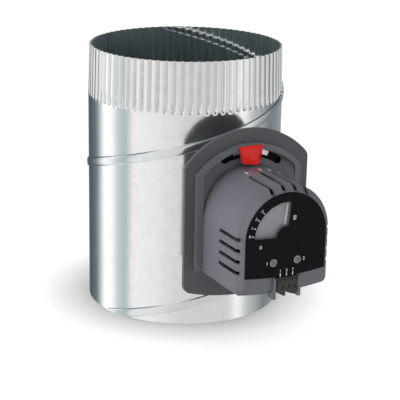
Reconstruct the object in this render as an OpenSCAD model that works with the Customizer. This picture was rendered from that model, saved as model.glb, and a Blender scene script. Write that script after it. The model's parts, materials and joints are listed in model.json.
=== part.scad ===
// Motorised round duct damper: a crimped spiral duct with a swinging blade,
// opened by a spring and closed by a geared motor.
// Millimetres. +Z runs along the duct from its plain end to its crimped end,
// the actuator faces -Y, and the origin is the centre of the plain end.
// A depth is a distance from the duct axis towards the actuator.

/* [Duct] */
// Outer diameter of the duct
duct_d = 152.4; // [140:0.1:165]
// Thickness of the duct sheet
duct_wall = 0.6; // [0.5:0.1:1]
// Length of the duct, end to end
duct_len = 204.5; // [195:0.5:230]
// Length of the crimped end
crimp_len = 38; // [30:1:40]
// Crimps round the crimped end
crimp_n = 77; // [60:1:90]
// Depth of a crimp, from crest to valley
crimp_depth = 2; // [1:0.1:2.5]
// Drop of the crest radius at the crimped rim
crimp_drop = 1.1; // [0.5:0.1:2]
// Run-out of each valley at its lower end
crimp_run = 3; // [2:0.5:5]
// Rise of the lock seam in one turn
seam_pitch = 124; // [120:1:130]
// Height of the seam's middle at the front of the duct
seam_front_z = 148.2; // [146:0.1:150]
// Height of the seam band along the duct
seam_w = 7.6; // [6:0.1:9]
// Thickness of the folded seam outside the duct
seam_proud = 1.6; // [1:0.1:2]

/* [Shaft and bearings] */
// Height of the damper shaft over the plain end
shaft_z = 93.8; // [92:0.1:96]
// Diameter of the damper shaft
shaft_d = 8; // [7:0.1:8.5]
// Diameter of each bearing where it goes through the duct wall
bush_d = 13.6; // [12:0.1:14]
// Diameter of each bearing's flange
bush_flange_d = 20; // [18:0.5:24]
// Thickness of each bearing's flange
bush_flange_t = 1.6; // [1.2:0.1:2]
// Length of each bearing outside its flange
bush_nose = 3.4; // [2:0.1:4]
// Length of each bearing inside the duct
bush_in = 1; // [0.5:0.1:1.2]
// Radial gap between a turning shaft or hub and its hole
run_gap = 0.05; // [0.02:0.01:0.1]
// Radial gap between a fixed part and the hole that it sits in
seat_gap = 0.1; // [0.05:0.05:0.2]
// Length of the shaft behind its retaining clip
shaft_tail = 3; // [2:0.5:4]
// Thickness of the shaft's retaining clip
clip_t = 1; // [0.8:0.1:1.4]
// Outer diameter of the shaft's retaining clip
clip_d = 13; // [12:0.5:15]

/* [Blade] */
// Gap between the blade seal and the duct wall
seal_gap = 0.35; // [0.3:0.05:0.6]
// Thickness of the blade seal
seal_t = 1.6; // [1.2:0.1:2]
// Width of the seal between the two discs
seal_grip = 14; // [10:1:20]
// How far the seal stands out past the discs
seal_lip = 3.8; // [2.5:0.1:5]
// Thickness of each blade disc
disc_t = 0.8; // [0.6:0.1:1]
// Width of the notch in the blade at each bearing
notch_w = 18; // [16:1:24]
// Gap between the notch and the bearing
notch_gap = 0.8; // [0.5:0.1:1.5]
// Rivets round the blade
blade_rivet_n = 6; // [4:2:8]
// Diameter of a blade rivet's shank
blade_rivet_d = 3; // [2.5:0.1:4]
// Distance of each blade bolt from the duct axis
bolt_at = 38; // [30:1:45]
// Diameter of the bolts through blade and shaft
bolt_d = 3; // [2.5:0.1:3.5]

/* [Bracket] */
// Height of the bracket's front face over the duct
bracket_rise = 20.3; // [18:0.1:22]
// Width of the bracket's web
bracket_w = 52; // [48:1:56]
// Thickness of the bracket sheet
bracket_t = 1.5; // [1.2:0.1:2]
// Height of the bracket over the shaft axis
bracket_up = 32; // [28:1:34]
// Height of the bracket under the shaft axis
bracket_down = 37; // [35:1:42]
// Length of each foot round the duct
foot_arc = 12; // [10:1:16]
// Distance of the foot rivets above and below the shaft
rivet_z = 24; // [20:1:26]
// Diameter of a foot rivet's shank
rivet_d = 3.9; // [3:0.1:4]

/* [Base plate] */
// Height of the plate's front face over the bracket
plate_over = 7.5; // [7:0.5:9]
// Thickness of the plate
plate_t = 3; // [2.5:0.1:4]
// Width of the plate beside the plinth
plate_side = 7.8; // [5:0.1:9]
// Width of the plate round the plinth's top arc
plate_rim = 10.5; // [8:0.5:13]
// Drop of the plate's lower edge under the plinth's, at the middle
plate_skirt = 24.8; // [20:0.1:28]
// Radius of the plate's bowed lower edge
plate_bow = 150; // [120:10:300]
// Corner radius of the plate
plate_corner = 7; // [4:0.5:9]
// Wall of the pan behind the plate
pan_wall = 1.8; // [1.5:0.1:2.2]
// Across distance of the plate screws
screw_w = 38; // [36:1:42]
// Height of the upper plate screws over the shaft axis
screw_up = 14; // [12:1:16]
// Drop of the lower plate screws under the shaft axis
screw_down = 29; // [28:0.5:29.5]
// Diameter of a plate screw's thread
screw_d = 4; // [3:0.1:4.2]

/* [Cover] */
// Wall thickness of the cover
cover_wall = 2; // [1.6:0.1:2.2]
// Half-width of the body at the front bevel
body_r = 37.2; // [36.8:0.1:37.6]
// Draft of the body's side from its bevel to the plinth
body_draft = 0.6; // [0.4:0.1:0.8]
// Height of the body's arch centre over the shaft axis
arch_up = 2; // [1:0.1:3]
// Drop of the body's lower corners under the shaft axis
body_down = 38.6; // [38:0.1:40]
// Extra drop of the chin at the middle
chin_bow = 2.2; // [1:0.1:3]
// Corner radius of the chin
chin_corner = 4; // [3:0.5:5]
// Length of the front bevel along the depth
bevel_len = 4.6; // [3:0.1:6]
// Width of the front bevel
bevel_w = 4.2; // [3:0.1:5]
// Height of the plinth over the plate
plinth_h = 4; // [3:0.1:5]
// Width of the plinth beside the body
plinth_side = 5.2; // [4:0.1:7]
// Height of the plinth's lower edge over the body's lower corners
plinth_lift = 2.6; // [2:0.1:4]
// Angle of the recess past the top, on the right
recess_end_a = 60; // [56:1:70]
// Angle at which the recess floor starts to rise on the right
recess_rise_a = 38; // [37:1:40]
// Length of the rise on the right
recess_rise = 14; // [10:0.5:18]
// Angle of the lever slot on the left
slot_left_a = 22; // [20:1:24]
// Angle of the lever slot on the right
slot_right_a = 34; // [32:1:36]
// Width of the lever slot
slot_w = 6; // [5:0.1:6.4]
// Gap between the top of the body's arch and the lever slot
slot_in = 4.8; // [4:0.1:6]
// Gap between the lever slot and the outer wall of its recess
slot_out = 1.4; // [1:0.1:2]
// Width of the plinth round the lever recess
recess_rim = 4; // [3.5:0.5:6]
// Width of a vent slot
vent_w = 2.8; // [1.5:0.1:3]
// Length of the side vents, which end on the front bevel
vent_side_len = 26.7; // [22:0.1:30]
// Length of the top vents from the cover's face
vent_top_len = 34.6; // [28:0.1:37]
// Distance between side vents
vent_side_pitch = 8.1; // [7:0.1:9]
// Distance between top vents
vent_top_pitch = 9; // [8:0.1:10]
// Vents in each row
vent_n = 4; // [3:1:4]
// Height of the top side vent over the shaft axis
vent_side_up = 3.3; // [2:0.1:5]
// Place of the first top vent across
vent_top_x = -11.2; // [-12:0.1:-10]

/* [Face] */
// Width of the bare edge round the face label
label_edge = 0.5; // [0.3:0.1:1]
// Drop of the label's lower corners under the shaft axis
label_down = 25; // [24:0.1:26]
// Extra drop of the label at the middle
label_bow = 2.2; // [1:0.1:3]
// Thickness of the face label
label_t = 0.4; // [0.3:0.1:0.6]
// Gap between the dial window and the label's edge
dial_edge = 6.5; // [6:0.5:8]
// Inner radius of the dial window
dial_in_r = 8.4; // [7:0.1:10]
// Angle of the needle past upright when the blade is open
needle_a = 6.3; // [4:0.1:8]
// Distance of each lamp from the middle
lamp_x = 9.7; // [9:0.1:10.5]
// Drop of the lamps under the shaft axis
lamp_down = 16.1; // [15:0.1:17]
// Diameter of a lamp
lamp_d = 4.4; // [4:0.1:5]

/* [Terminal block] */
// Distance between terminals
pin_pitch = 5.08; // [5:0.01:5.1]
// Place of the middle terminal across
plug_x = 1.2; // [0.5:0.1:2]
// Drop of the plug's top under the shaft axis
plug_down = 27.8; // [27:0.1:29]
// Height of the plug
plug_h = 13.4; // [12:0.1:14]
// How far the plug stands out past the cover's face
plug_proud = 2.4; // [1:0.1:4]
// Length of the plug from front to back
plug_len = 11.5; // [10:0.5:12]
// Travel of the plug as it pulls off
plug_travel = 12; // [8:0.5:14]

/* [Drive] */
// Module of the gear teeth
gear_m = 0.8; // [0.8:0.01:0.82]
// Teeth of the output gear
out_teeth = 54; // [54:1:54]
// Teeth of the idler's small gear
small_teeth = 12; // [12:1:12]
// Teeth of the idler's large gear
large_teeth = 36; // [36:1:36]
// Teeth of the motor pinion
pinion_teeth = 12; // [12:1:12]
// Angle of the idler from straight down, round the shaft axis
idler_a = 40; // [38:1:42]
// Diameter of the output hub
hub_d = 14; // [12:0.5:14]
// Diameter of the idler axle
axle_d = 3; // [2.5:0.1:3.5]
// Diameter of the motor can
motor_d = 27; // [24:0.5:27]
// Length of the motor can
motor_len = 22; // [18:0.5:26]
// Thickness of the gear frame plate
frame_t = 1.2; // [1:0.1:1.5]
// Turns of the return spring
spring_turns = 3; // [2:1:4]

/* [Stop lever] */
// Thickness of the lever sheet
lever_t = 1.2; // [1:0.1:1.4]
// Width of the lever arm
lever_w = 8; // [6:0.5:9]
// Width of the red knob at its top
knob_w = 19.4; // [16:0.1:20]
// Height of the red knob
knob_h = 13.8; // [12:0.1:14]
// How much narrower the knob's foot is on each side
knob_foot = 1.6; // [0.5:0.1:2]
// How far the knob stands out past the plinth's face
knob_proud = 4.5; // [3:0.5:6]

/* [Hidden] */

// Facets of true round surfaces
$fn = 96;
// One overrun for every cut
over = 1;
// Thickness of the slices that a hull joins
slice = 0.01;
// Facets of the profiles that a hull joins
hull_fn = 32;

duct_r = duct_d / 2;
duct_in = duct_r - duct_wall;
shaft_r = shaft_d / 2;
crimp_z = duct_len - crimp_len;
bush_out = duct_r + bush_flange_t + bush_nose;

// Blade radii
seal_r = duct_in - seal_gap;
disc_r = seal_r - seal_lip;
notch_at = duct_in - bush_in - notch_gap;
channel_r = shaft_r + disc_t;
rivet_ring = disc_r - seal_grip / 2;
blade_x = seal_t / 2;

// Outlines of the actuator, each grown from the one inside it
root_r = body_r + body_draft;
slot_r = root_r + arch_up + slot_in + slot_w / 2;
recess_r = slot_r + slot_w / 2 + slot_out;
plinth_r = recess_r + recess_rim;
plinth_w = 2 * (root_r + plinth_side);
plinth_down = body_down - plinth_lift;
plate_r = plinth_r + plate_rim;
plate_w = plinth_w + 2 * plate_side;
plate_down = plinth_down + plate_skirt;
label_r = body_r - bevel_w - label_edge;
dial_r = label_r - dial_edge;

// Depths inside the actuator, from the duct outwards
bracket_d = duct_r + bracket_rise;
pan_d = bracket_d;
floor_d = pan_d + pan_wall;
plate_d = pan_d + plate_over;
plinth_d = plate_d + plinth_h;
lever_gap = 0.3;
lever_d = floor_d + lever_gap;
recess_floor = 1.2;
recess_d = lever_d + lever_t + 2 * lever_gap + recess_floor;
out_gear_t = 4;
gear_back_gap = 1.8;
out_gear_d = lever_d + lever_t + gear_back_gap;
idler_t = 3.6;
stage_gap = 0.5;
idler_gear_d = out_gear_d + out_gear_t + stage_gap;
frame_d = idler_gear_d + idler_t + stage_gap;
motor_front_d = frame_d + frame_t + motor_len;
spring_w = 6;
spring_clear = 1.3;
spring_d0 = motor_front_d + spring_clear;
board_clear = 7.7;
board_t = 1.6;
board_d = spring_d0 + spring_w + board_clear;
header_t = 2.2;
plug_back_d = board_d + board_t + header_t + lever_gap;
plug_front_d = plug_back_d + plug_len;
face_d = plug_front_d - plug_proud;
face_in_d = face_d - cover_wall;
bevel_d = face_d - bevel_len;
lens_t = 1;
needle_t = 1.2;
needle_d = face_in_d - lens_t - stage_gap - needle_t;
dial_plate_t = 1;
dial_plate_d = needle_d - stage_gap - dial_plate_t;
recess_tip = arch_up;
recess_start_a = -120;
recess_wall = 1;
hub_r = hub_d / 2;

// Gear radii and centres, in the plane of the actuator with the shaft at zero
function pitch_r(teeth) = teeth * gear_m / 2;
idler_dist = pitch_r(out_teeth) + pitch_r(small_teeth);
idler_at = [-idler_dist * sin(idler_a), -idler_dist * cos(idler_a)];
motor_dist = pitch_r(large_teeth) + pitch_r(pinion_teeth);
motor_a = 6;
motor_at = idler_at + motor_dist * [cos(motor_a), -sin(motor_a)];

// Places of the screws and posts, in the same plane
plate_screw_at = [for (sx = [-1, 1]) for (z = [screw_up, -screw_down]) [sx * screw_w / 2, z]];
post_in = 6.2;
post_x = body_r - post_in;
post_up = -4.5;
post_lift = 6.1;
post_low = post_lift - body_down;
post_r = 2.2;
post_at = [for (sx = [-1, 1]) for (z = [post_up, post_low]) [sx * post_x, z]];
long_screw_r = 1.5;
long_head_r = 2.8;
long_head_t = 2;
screw_grip = 7;
long_screw_front_d = frame_d + frame_t + screw_grip;
dial_at = [0.5, 1.7];
dial_end_a = 87;
board_in = 10.2;
board_r = body_r - board_in;
board_post_in = 4;
board_post_x = board_r - board_post_in;
board_post_down = 30;
dial_post_r = 1.1;
dial_post_angles = [-88, -42, 4];
dial_post_at = [for (a = dial_post_angles)
    dial_at + (dial_r + over + 2 * seat_gap + dial_post_r) * [sin(a), cos(a)]];
ramp_top = 30;
boss_wall = 1.6;
boss_r = hub_r + boss_wall;
boss_front_d = lever_d + lever_t + run_gap;
shoulder_r = 10;
hub_nose = 4;
shaft_front_d = out_gear_d + out_gear_t + hub_nose;

// Places and extrusions
module on_axis() {
    translate([0, 0, shaft_z]) children();
}

// A flat profile drawn as x and height, made solid between two depths
module slab(d0, d1) {
    translate([0, -d0, shaft_z]) rotate([90, 0, 0]) linear_extrude(d1 - d0) children();
}

// A round bar along the depth
module rod(r, d0, d1, at = [0, 0]) {
    translate([at[0], -d0, shaft_z + at[1]]) rotate([90, 0, 0]) cylinder(r = r, h = d1 - d0);
}

module ring(r_out, r_in, d0, d1, at = [0, 0]) {
    difference() {
        rod(r_out, d0, d1, at);
        rod(r_in, d0 - over, d1 + over, at);
    }
}

// Pie slice between two angles, measured from straight up towards +X
module sector(r, a0, a1) {
    steps = max(2, ceil((a1 - a0) / 30));
    polygon([[0, 0], for (i = [0:steps]) let (a = a0 + (a1 - a0) * i / steps)
        2 * r * [sin(a), cos(a)]]);
}

// Arched outline: a half round on straight sides, with a bowed lower edge
module arched(r, centre, down, bow) {
    bow_r = (r * r + bow * bow) / (2 * bow);
    intersection() {
        union() {
            translate([0, centre]) circle(r);
            translate([-r, -down - bow]) square([2 * r, down + bow + centre]);
        }
        translate([0, bow_r - down - bow]) circle(bow_r);
    }
}

// One slice of the body: its arch, its lower corners and its bowed chin
module body_slice(d, grow) {
    half = body_r + grow - chin_corner;
    low = body_down + grow;
    slab(d, d + slice) {
        translate([0, arch_up]) circle(body_r + grow, $fn = 2 * hull_fn);
        for (side = [-1, 1]) translate([side * half, chin_corner - low]) circle(chin_corner, $fn = hull_fn);
        polygon([for (i = [-4:4]) let (share = i / 4) [share * half, -low - chin_bow * (1 - share * share)]]);
    }
}

// The body as one convex form, drafted to its front bevel
module body_form(back_d, front_d, inset) {
    hull() {
        body_slice(back_d, root_r - body_r - inset);
        body_slice(bevel_d - inset / 2, -inset);
        body_slice(front_d - slice, -bevel_w - inset / 2);
    }
}

// Outline that the lever recess takes out of the plinth, grown by its wall
module recess_outline(grow = 0) {
    intersection() {
        circle(recess_r + grow);
        translate([-root_r - grow, recess_tip]) square([2 * (root_r + grow), 2 * recess_r]);
        sector(recess_r, recess_start_a, recess_end_a + grow);
    }
}

module plate_outline() {
    half = plate_w / 2 - plate_corner;
    minkowski() {
        intersection() {
            union() {
                circle(plate_r - plate_corner);
                translate([-half, -2 * plate_down]) square([2 * half, 2 * plate_down]);
            }
            translate([-half, -plate_down]) square([2 * half, 2 * plate_r]);
            translate([0, plate_bow - plate_down + plate_corner]) circle(plate_bow);
        }
        circle(plate_corner, $fn = hull_fn);
    }
}

// Outline of the plinth and, set in, of the pan and the recess
module plinth_outline(inset = 0) {
    intersection() {
        circle(plinth_r - inset);
        translate([inset - plinth_w / 2, inset - plinth_down])
            square([plinth_w - 2 * inset, 2 * plinth_r]);
    }
}

// Involute gear outline, its first tooth centred straight up
pressure = 25;
tip_share = 0.9;
root_share = 1.12;
backlash_share = 0.16;
function inv(a) = tan(a) * 180 / PI - a;
function tooth_half(teeth, r) = let (rb = pitch_r(teeth) * cos(pressure))
    90 / teeth - backlash_share * 90 / (teeth * PI) + inv(pressure) - inv(acos(min(1, rb / r)));
module gear_outline(teeth) {
    rp = pitch_r(teeth);
    root = rp - root_share * gear_m;
    low = max(root, rp * cos(pressure));
    tip = rp + tip_share * gear_m;
    radii = root < low ? [root, low, rp, tip] : [root, rp, tip];
    polygon([for (i = [0:teeth - 1]) for (side = [-1, 1]) for (k = [0:len(radii) - 1])
        let (r = side < 0 ? radii[k] : radii[len(radii) - 1 - k])
        let (a = 360 * i / teeth + side * tooth_half(teeth, max(r, low))) r * [sin(a), cos(a)]]);
}
module gear(teeth, d0, d1, at = [0, 0], turn = 0) {
    translate([at[0], 0, at[1]]) slab(d0, d1) rotate(-turn) gear_outline(teeth);
}

// Turns of the gears, clockwise, that bring their teeth into mesh at rest
to_idler = 180 + idler_a;
out_turn = to_idler - 360 / out_teeth * floor(to_idler / (360 / out_teeth));
idler_turn = idler_a + 180 / small_teeth;
to_motor = 90 + motor_a;
large_turn = to_motor;
pinion_turn = to_motor + 180 + 180 / pinion_teeth;

// Duct

module tube(r_out, r_in, z0, z1) {
    translate([0, 0, z0]) difference() {
        cylinder(r = r_out, h = z1 - z0);
        translate([0, 0, -over]) cylinder(r = r_in, h = z1 - z0 + 2 * over);
    }
}

// Places of each crimp's two crest edges and its valley, in crimps
crimp_place_shares = [0, 0.44, 0.72];
// Levels of the crimped end: height, crest radius, valley depth, wall
crimp_levels = [
    [crimp_z - crimp_run, duct_r - duct_wall / 4, 0, duct_wall / 2],
    [crimp_z, duct_r - duct_wall / 4, 0, duct_wall / 2],
    [crimp_z + crimp_run, duct_r - crimp_drop * crimp_run / crimp_len, crimp_depth, duct_wall],
    [duct_len, duct_r - crimp_drop, crimp_depth, duct_wall]];
module crimped_wall() {
    n = 3 * crimp_n;
    points = [for (level = crimp_levels) for (inner = [0, 1]) for (i = [0:n - 1])
        let (valley = i % 3 == 2 ? level[2] : 0)
        let (a = 360 * (floor(i / 3) + crimp_place_shares[i % 3]) / crimp_n)
        let (r = level[1] - valley - inner * level[3])
        [r * cos(a), r * sin(a), level[0]]];
    top = len(crimp_levels) - 1;
    function at(level, inner, i) = (2 * level + inner) * n + i % n;
    sides = [for (k = [0:top - 1]) for (i = [0:n - 1]) each [
        [at(k, 0, i), at(k + 1, 0, i), at(k, 0, i + 1)],
        [at(k, 0, i + 1), at(k + 1, 0, i), at(k + 1, 0, i + 1)],
        [at(k, 1, i), at(k, 1, i + 1), at(k + 1, 1, i)],
        [at(k, 1, i + 1), at(k + 1, 1, i + 1), at(k + 1, 1, i)]]];
    ends = [for (i = [0:n - 1]) each [
        [at(0, 0, i), at(0, 0, i + 1), at(0, 1, i)],
        [at(0, 1, i), at(0, 0, i + 1), at(0, 1, i + 1)],
        [at(top, 0, i), at(top, 1, i), at(top, 0, i + 1)],
        [at(top, 1, i), at(top, 1, i + 1), at(top, 0, i + 1)]]];
    polyhedron(points, concat(sides, ends), convexity = 10);
}

// Folded lock seam: a flat band that winds up the outside of the duct
seam_step = 8;
seam_edge = 0.8;
seam_start_a = -360 * (seam_front_z + seam_w / 4) / seam_pitch;
seam_end_a = 360 * (duct_len - seam_front_z + seam_w / 4) / seam_pitch;
module lock_seam() {
    rings = ceil((seam_end_a - seam_start_a) / seam_step);
    points = [for (i = [0:rings])
        let (a = seam_start_a + (seam_end_a - seam_start_a) * i / rings)
        let (mid = seam_front_z + seam_pitch * a / 360)
        let (low = max(0, mid - seam_w / 2), high = min(duct_len, mid + seam_w / 2))
        let (edge = min(seam_edge, (high - low) / 4))
        let (crest = duct_r - duct_wall / 4 - crimp_drop * max(0, mid - crimp_z) / crimp_len)
        let (fill_share = max(0, min(1, (mid - crimp_z) / crimp_run)))
        let (r = crest - fill_share * (crimp_depth + duct_wall / 4))
        for (p = [[r, low], [crest + seam_proud, low + edge], [crest + seam_proud, high - edge], [r, high]])
        [p[0] * sin(a), -p[0] * cos(a), p[1]]];
    sides = [for (i = [0:rings - 1]) for (k = [0:3])
        let (p = 4 * i + k, q = 4 * i + (k + 1) % 4) each [[p, q, p + 4], [q, q + 4, p + 4]]];
    last = 4 * rings;
    ends = [[0, 3, 1], [1, 3, 2], [last, last + 1, last + 3], [last + 1, last + 2, last + 3]];
    polyhedron(points, concat(sides, ends), convexity = 10);
}

// A hole or rivet that points at the duct axis from a bracket foot
foot_a = asin((bracket_w / 2 - bracket_t) / duct_r);
foot_mid_a = foot_a + foot_arc / 2 / duct_r * 180 / PI;
module at_foot_rivets() {
    for (side = [-1, 1]) for (up = [-1, 1])
        rotate([0, 0, side * foot_mid_a]) translate([0, 0, up * rivet_z]) children();
}

module duct_shell() {
    color("lightgray") difference() {
        union() {
            tube(duct_r, duct_in, 0, crimp_z);
            crimped_wall();
            lock_seam();
        }
        for (turn = [0, 180]) rotate([0, 0, turn]) rod(bush_d / 2 + seat_gap, duct_r / 2, duct_d);
        at_foot_rivets() rod(rivet_d / 2 + seat_gap, duct_r / 2, duct_d);
    }
}

// Bracket that stands the actuator off the duct

module standoff_bracket() {
    foot_in = duct_r + seat_gap;
    half = bracket_w / 2;
    color("silver") difference() {
        translate([0, 0, shaft_z - bracket_down]) linear_extrude(bracket_up + bracket_down) union() {
            translate([-half, -bracket_d]) square([bracket_w, bracket_t]);
            for (side = [0, 1]) mirror([side, 0]) {
                difference() {
                    translate([half - bracket_t, -bracket_d]) square([bracket_t, bracket_d - duct_r * 0.8]);
                    circle(foot_in);
                }
                intersection() {
                    difference() {
                        circle(foot_in + bracket_t);
                        circle(foot_in);
                    }
                    mirror([0, 1]) sector(duct_r, foot_a, 2 * foot_mid_a - foot_a);
                }
            }
        }
        rod(bush_d / 2 + seat_gap, duct_d / 2, 2 * duct_d);
        for (at = plate_screw_at)
            rod(screw_d / 2 + seat_gap, bracket_d - bracket_t - over, bracket_d + over, at);
        at_foot_rivets() rod(rivet_d / 2 + seat_gap, duct_r / 2, duct_d);
    }
}

// Pop rivets: a dome outside each foot and a set collar inside the duct
rivet_head_r = rivet_d * 0.9;
rivet_head_t = 1.2;
rivet_set_t = 1.4;
module bracket_rivets() {
    foot_face = duct_r + seat_gap + bracket_t;
    color("gainsboro") at_foot_rivets() {
        rod(rivet_d / 2, duct_in - rivet_set_t, foot_face + rivet_head_t);
        rod(rivet_head_r, foot_face + seat_gap, foot_face + rivet_head_t);
        rod(rivet_head_r * 0.7, duct_in - rivet_set_t, duct_in - seat_gap * 3);
    }
}

// Bearings

module bush(flange_d) {
    color("ivory") difference() {
        union() {
            rod(bush_d / 2, duct_in - bush_in, flange_d + bush_flange_t);
            rod(bush_flange_d / 2, flange_d, flange_d + bush_flange_t);
            rod(shaft_r + bush_flange_t, flange_d, bush_out);
        }
        rod(shaft_r + run_gap, duct_r / 2, duct_d);
    }
}
module front_bearing() {
    bush(duct_r + seat_gap);
}
// The seam crosses behind the shaft, so this flange seats on the seam
module rear_bearing() {
    mirror([0, 1, 0]) bush(duct_r + seam_proud + seat_gap);
}

// Damper shaft with its clip groove and bolt holes

groove_deep = 0.6;
clip_at = bush_out + lever_gap;
shaft_back = clip_at + clip_t + shaft_tail;
module damper_shaft() {
    color("silver") difference() {
        rod(shaft_r, -shaft_back, shaft_front_d);
        difference() {
            rod(shaft_r + over, -clip_at - clip_t - run_gap, -clip_at + run_gap);
            rod(shaft_r - groove_deep, -duct_d, 0);
        }
        for (side = [-1, 1]) translate([-over - shaft_r, side * bolt_at, shaft_z])
            rotate([0, 90, 0]) cylinder(r = bolt_d / 2 + seat_gap, h = 2 * (shaft_r + over));
    }
}

// Open ring that snaps into the groove
module shaft_clip() {
    color("dimgray") difference() {
        rod(clip_d / 2, -clip_at - clip_t, -clip_at);
        rod(shaft_r - groove_deep + run_gap, -duct_d, 0);
        translate([-shaft_r * 0.6, 0, shaft_z - clip_d]) cube([shaft_r * 1.2, duct_d, clip_d]);
    }
}

// Blade, drawn open: its discs face +X and -X

// A flat profile drawn as depth and height, made solid between two distances along X
module leaf(x0, x1) {
    translate([x0, 0, shaft_z]) rotate([90, 0, 90]) linear_extrude(x1 - x0) children();
}
module notched_circle(r) {
    difference() {
        circle(r);
        for (side = [0, 1]) mirror([side, 0]) translate([notch_at, -notch_w / 2])
            square([duct_r, notch_w]);
    }
}
module at_blade_rivets() {
    for (i = [0:blade_rivet_n - 1]) let (a = 90 + 360 * (i + 0.5) / blade_rivet_n)
        translate([0, rivet_ring * sin(a), shaft_z + rivet_ring * cos(a)]) rotate([0, 90, 0]) children();
}
module at_blade_bolts() {
    for (side = [-1, 1]) translate([0, side * bolt_at, shaft_z]) rotate([0, 90, 0]) children();
}
module across(r, x0, x1) {
    translate([0, 0, x0]) cylinder(r = r, h = x1 - x0);
}
// A disc with a half-round channel that clasps the shaft
module blade_disc() {
    difference() {
        union() {
            leaf(blade_x, blade_x + disc_t) notched_circle(disc_r);
            difference() {
                rod(channel_r, -notch_at, notch_at);
                translate([blade_x - 2 * duct_d, -duct_r, 0]) cube([2 * duct_d, duct_d, duct_len]);
            }
        }
        rod(shaft_r + seat_gap / 2, -duct_d, duct_d);
        at_blade_rivets() across(blade_rivet_d / 2 + seat_gap, 0, channel_r);
        at_blade_bolts() across(bolt_d / 2 + seat_gap, 0, 2 * channel_r);
    }
}
module blade_disc_upper() {
    color("gainsboro") blade_disc();
}
module blade_disc_lower() {
    color("gainsboro") mirror([1, 0, 0]) blade_disc();
}
module blade_seal() {
    color("dimgray") difference() {
        leaf(-blade_x, blade_x) difference() {
            notched_circle(seal_r);
            circle(disc_r - seal_grip);
        }
        rod(shaft_r + seat_gap, -duct_d, duct_d);
        at_blade_rivets() across(blade_rivet_d / 2 + seat_gap, -seal_t, seal_t);
    }
}
module blade_rivets() {
    head_r = blade_rivet_d * 0.9;
    face = blade_x + disc_t;
    color("silver") at_blade_rivets() {
        across(blade_rivet_d / 2, -face - disc_t, face + disc_t);
        for (side = [0, 1]) mirror([0, 0, side]) across(head_r, face, face + disc_t);
    }
}
bolt_seat = channel_r + seat_gap;
bolt_head_r = bolt_d;
bolt_head_t = bolt_d * 0.7;
module blade_bolts() {
    color("silver") at_blade_bolts() {
        across(bolt_d / 2, -bolt_seat - bolt_d, bolt_seat + bolt_head_t);
        across(bolt_head_r, bolt_seat, bolt_seat + bolt_head_t);
    }
}
module blade_nuts() {
    nut_t = bolt_d * 0.8;
    color("silver") at_blade_bolts() difference() {
        translate([0, 0, -bolt_seat - nut_t]) cylinder(r = bolt_d, h = nut_t, $fn = 6);
        across(bolt_d / 2 + run_gap, -2 * channel_r, 0);
    }
}

// Base plate: a flange, a pan sunk behind it, the shaft boss and four posts

module base_plate() {
    color("dimgray") difference() {
        union() {
            slab(plate_d - plate_t, plate_d) difference() {
                plate_outline();
                plinth_outline(over + pan_wall);
            }
            slab(pan_d, plate_d) difference() {
                plinth_outline(over);
                plinth_outline(over + pan_wall);
            }
            slab(pan_d, floor_d) plinth_outline(over);
            rod(boss_r, pan_d, boss_front_d);
            for (at = post_at) rod(post_r + pan_wall / 2, pan_d, frame_d, at);
            rod(axle_d / 2 + pan_wall, pan_d, out_gear_d - stage_gap, idler_at);
        }
        rod(shaft_r + run_gap, pan_d - over, frame_d);
        rod(axle_d / 2 + run_gap, pan_d - over, frame_d, idler_at);
        for (at = plate_screw_at) rod(screw_d / 2 + seat_gap, pan_d - over, floor_d + over, at);
        for (at = post_at) rod(long_screw_r + seat_gap, pan_d - over, frame_d + over, at);
    }
}
// Pan-head screws that hold the plate to the bracket
module plate_screws() {
    head_t = screw_d * 0.45;
    color("silver") for (at = plate_screw_at) difference() {
        union() {
            rod(screw_d / 2, bracket_d - 3 * bracket_t, floor_d + head_t, at);
            rod(screw_d * 0.85, floor_d, floor_d + head_t, at);
        }
        translate([at[0], 0, at[1]]) slab(floor_d + head_t / 2, floor_d + head_t + over)
            square([screw_d, screw_d / 5], center = true);
    }
}

// Cover

notch_gap_x = 0.8;
plug_w = 3 * pin_pitch + over;
notch_half_w = plug_w / 2 + notch_gap_x;
notch_top = -plug_down + notch_gap_x;
notch_d = board_d + board_t;
notch_wall = 1.5;
boss_end_d = long_screw_front_d + 2 * cover_wall;
board_screw_r = 1.5;
guard_w = 2.4;
guard_d = plug_front_d - stage_gap;
guard_low = body_down + chin_bow + guard_w;
lamp_at = [for (side = [-1, 1]) [side * lamp_x, -lamp_down]];

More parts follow.
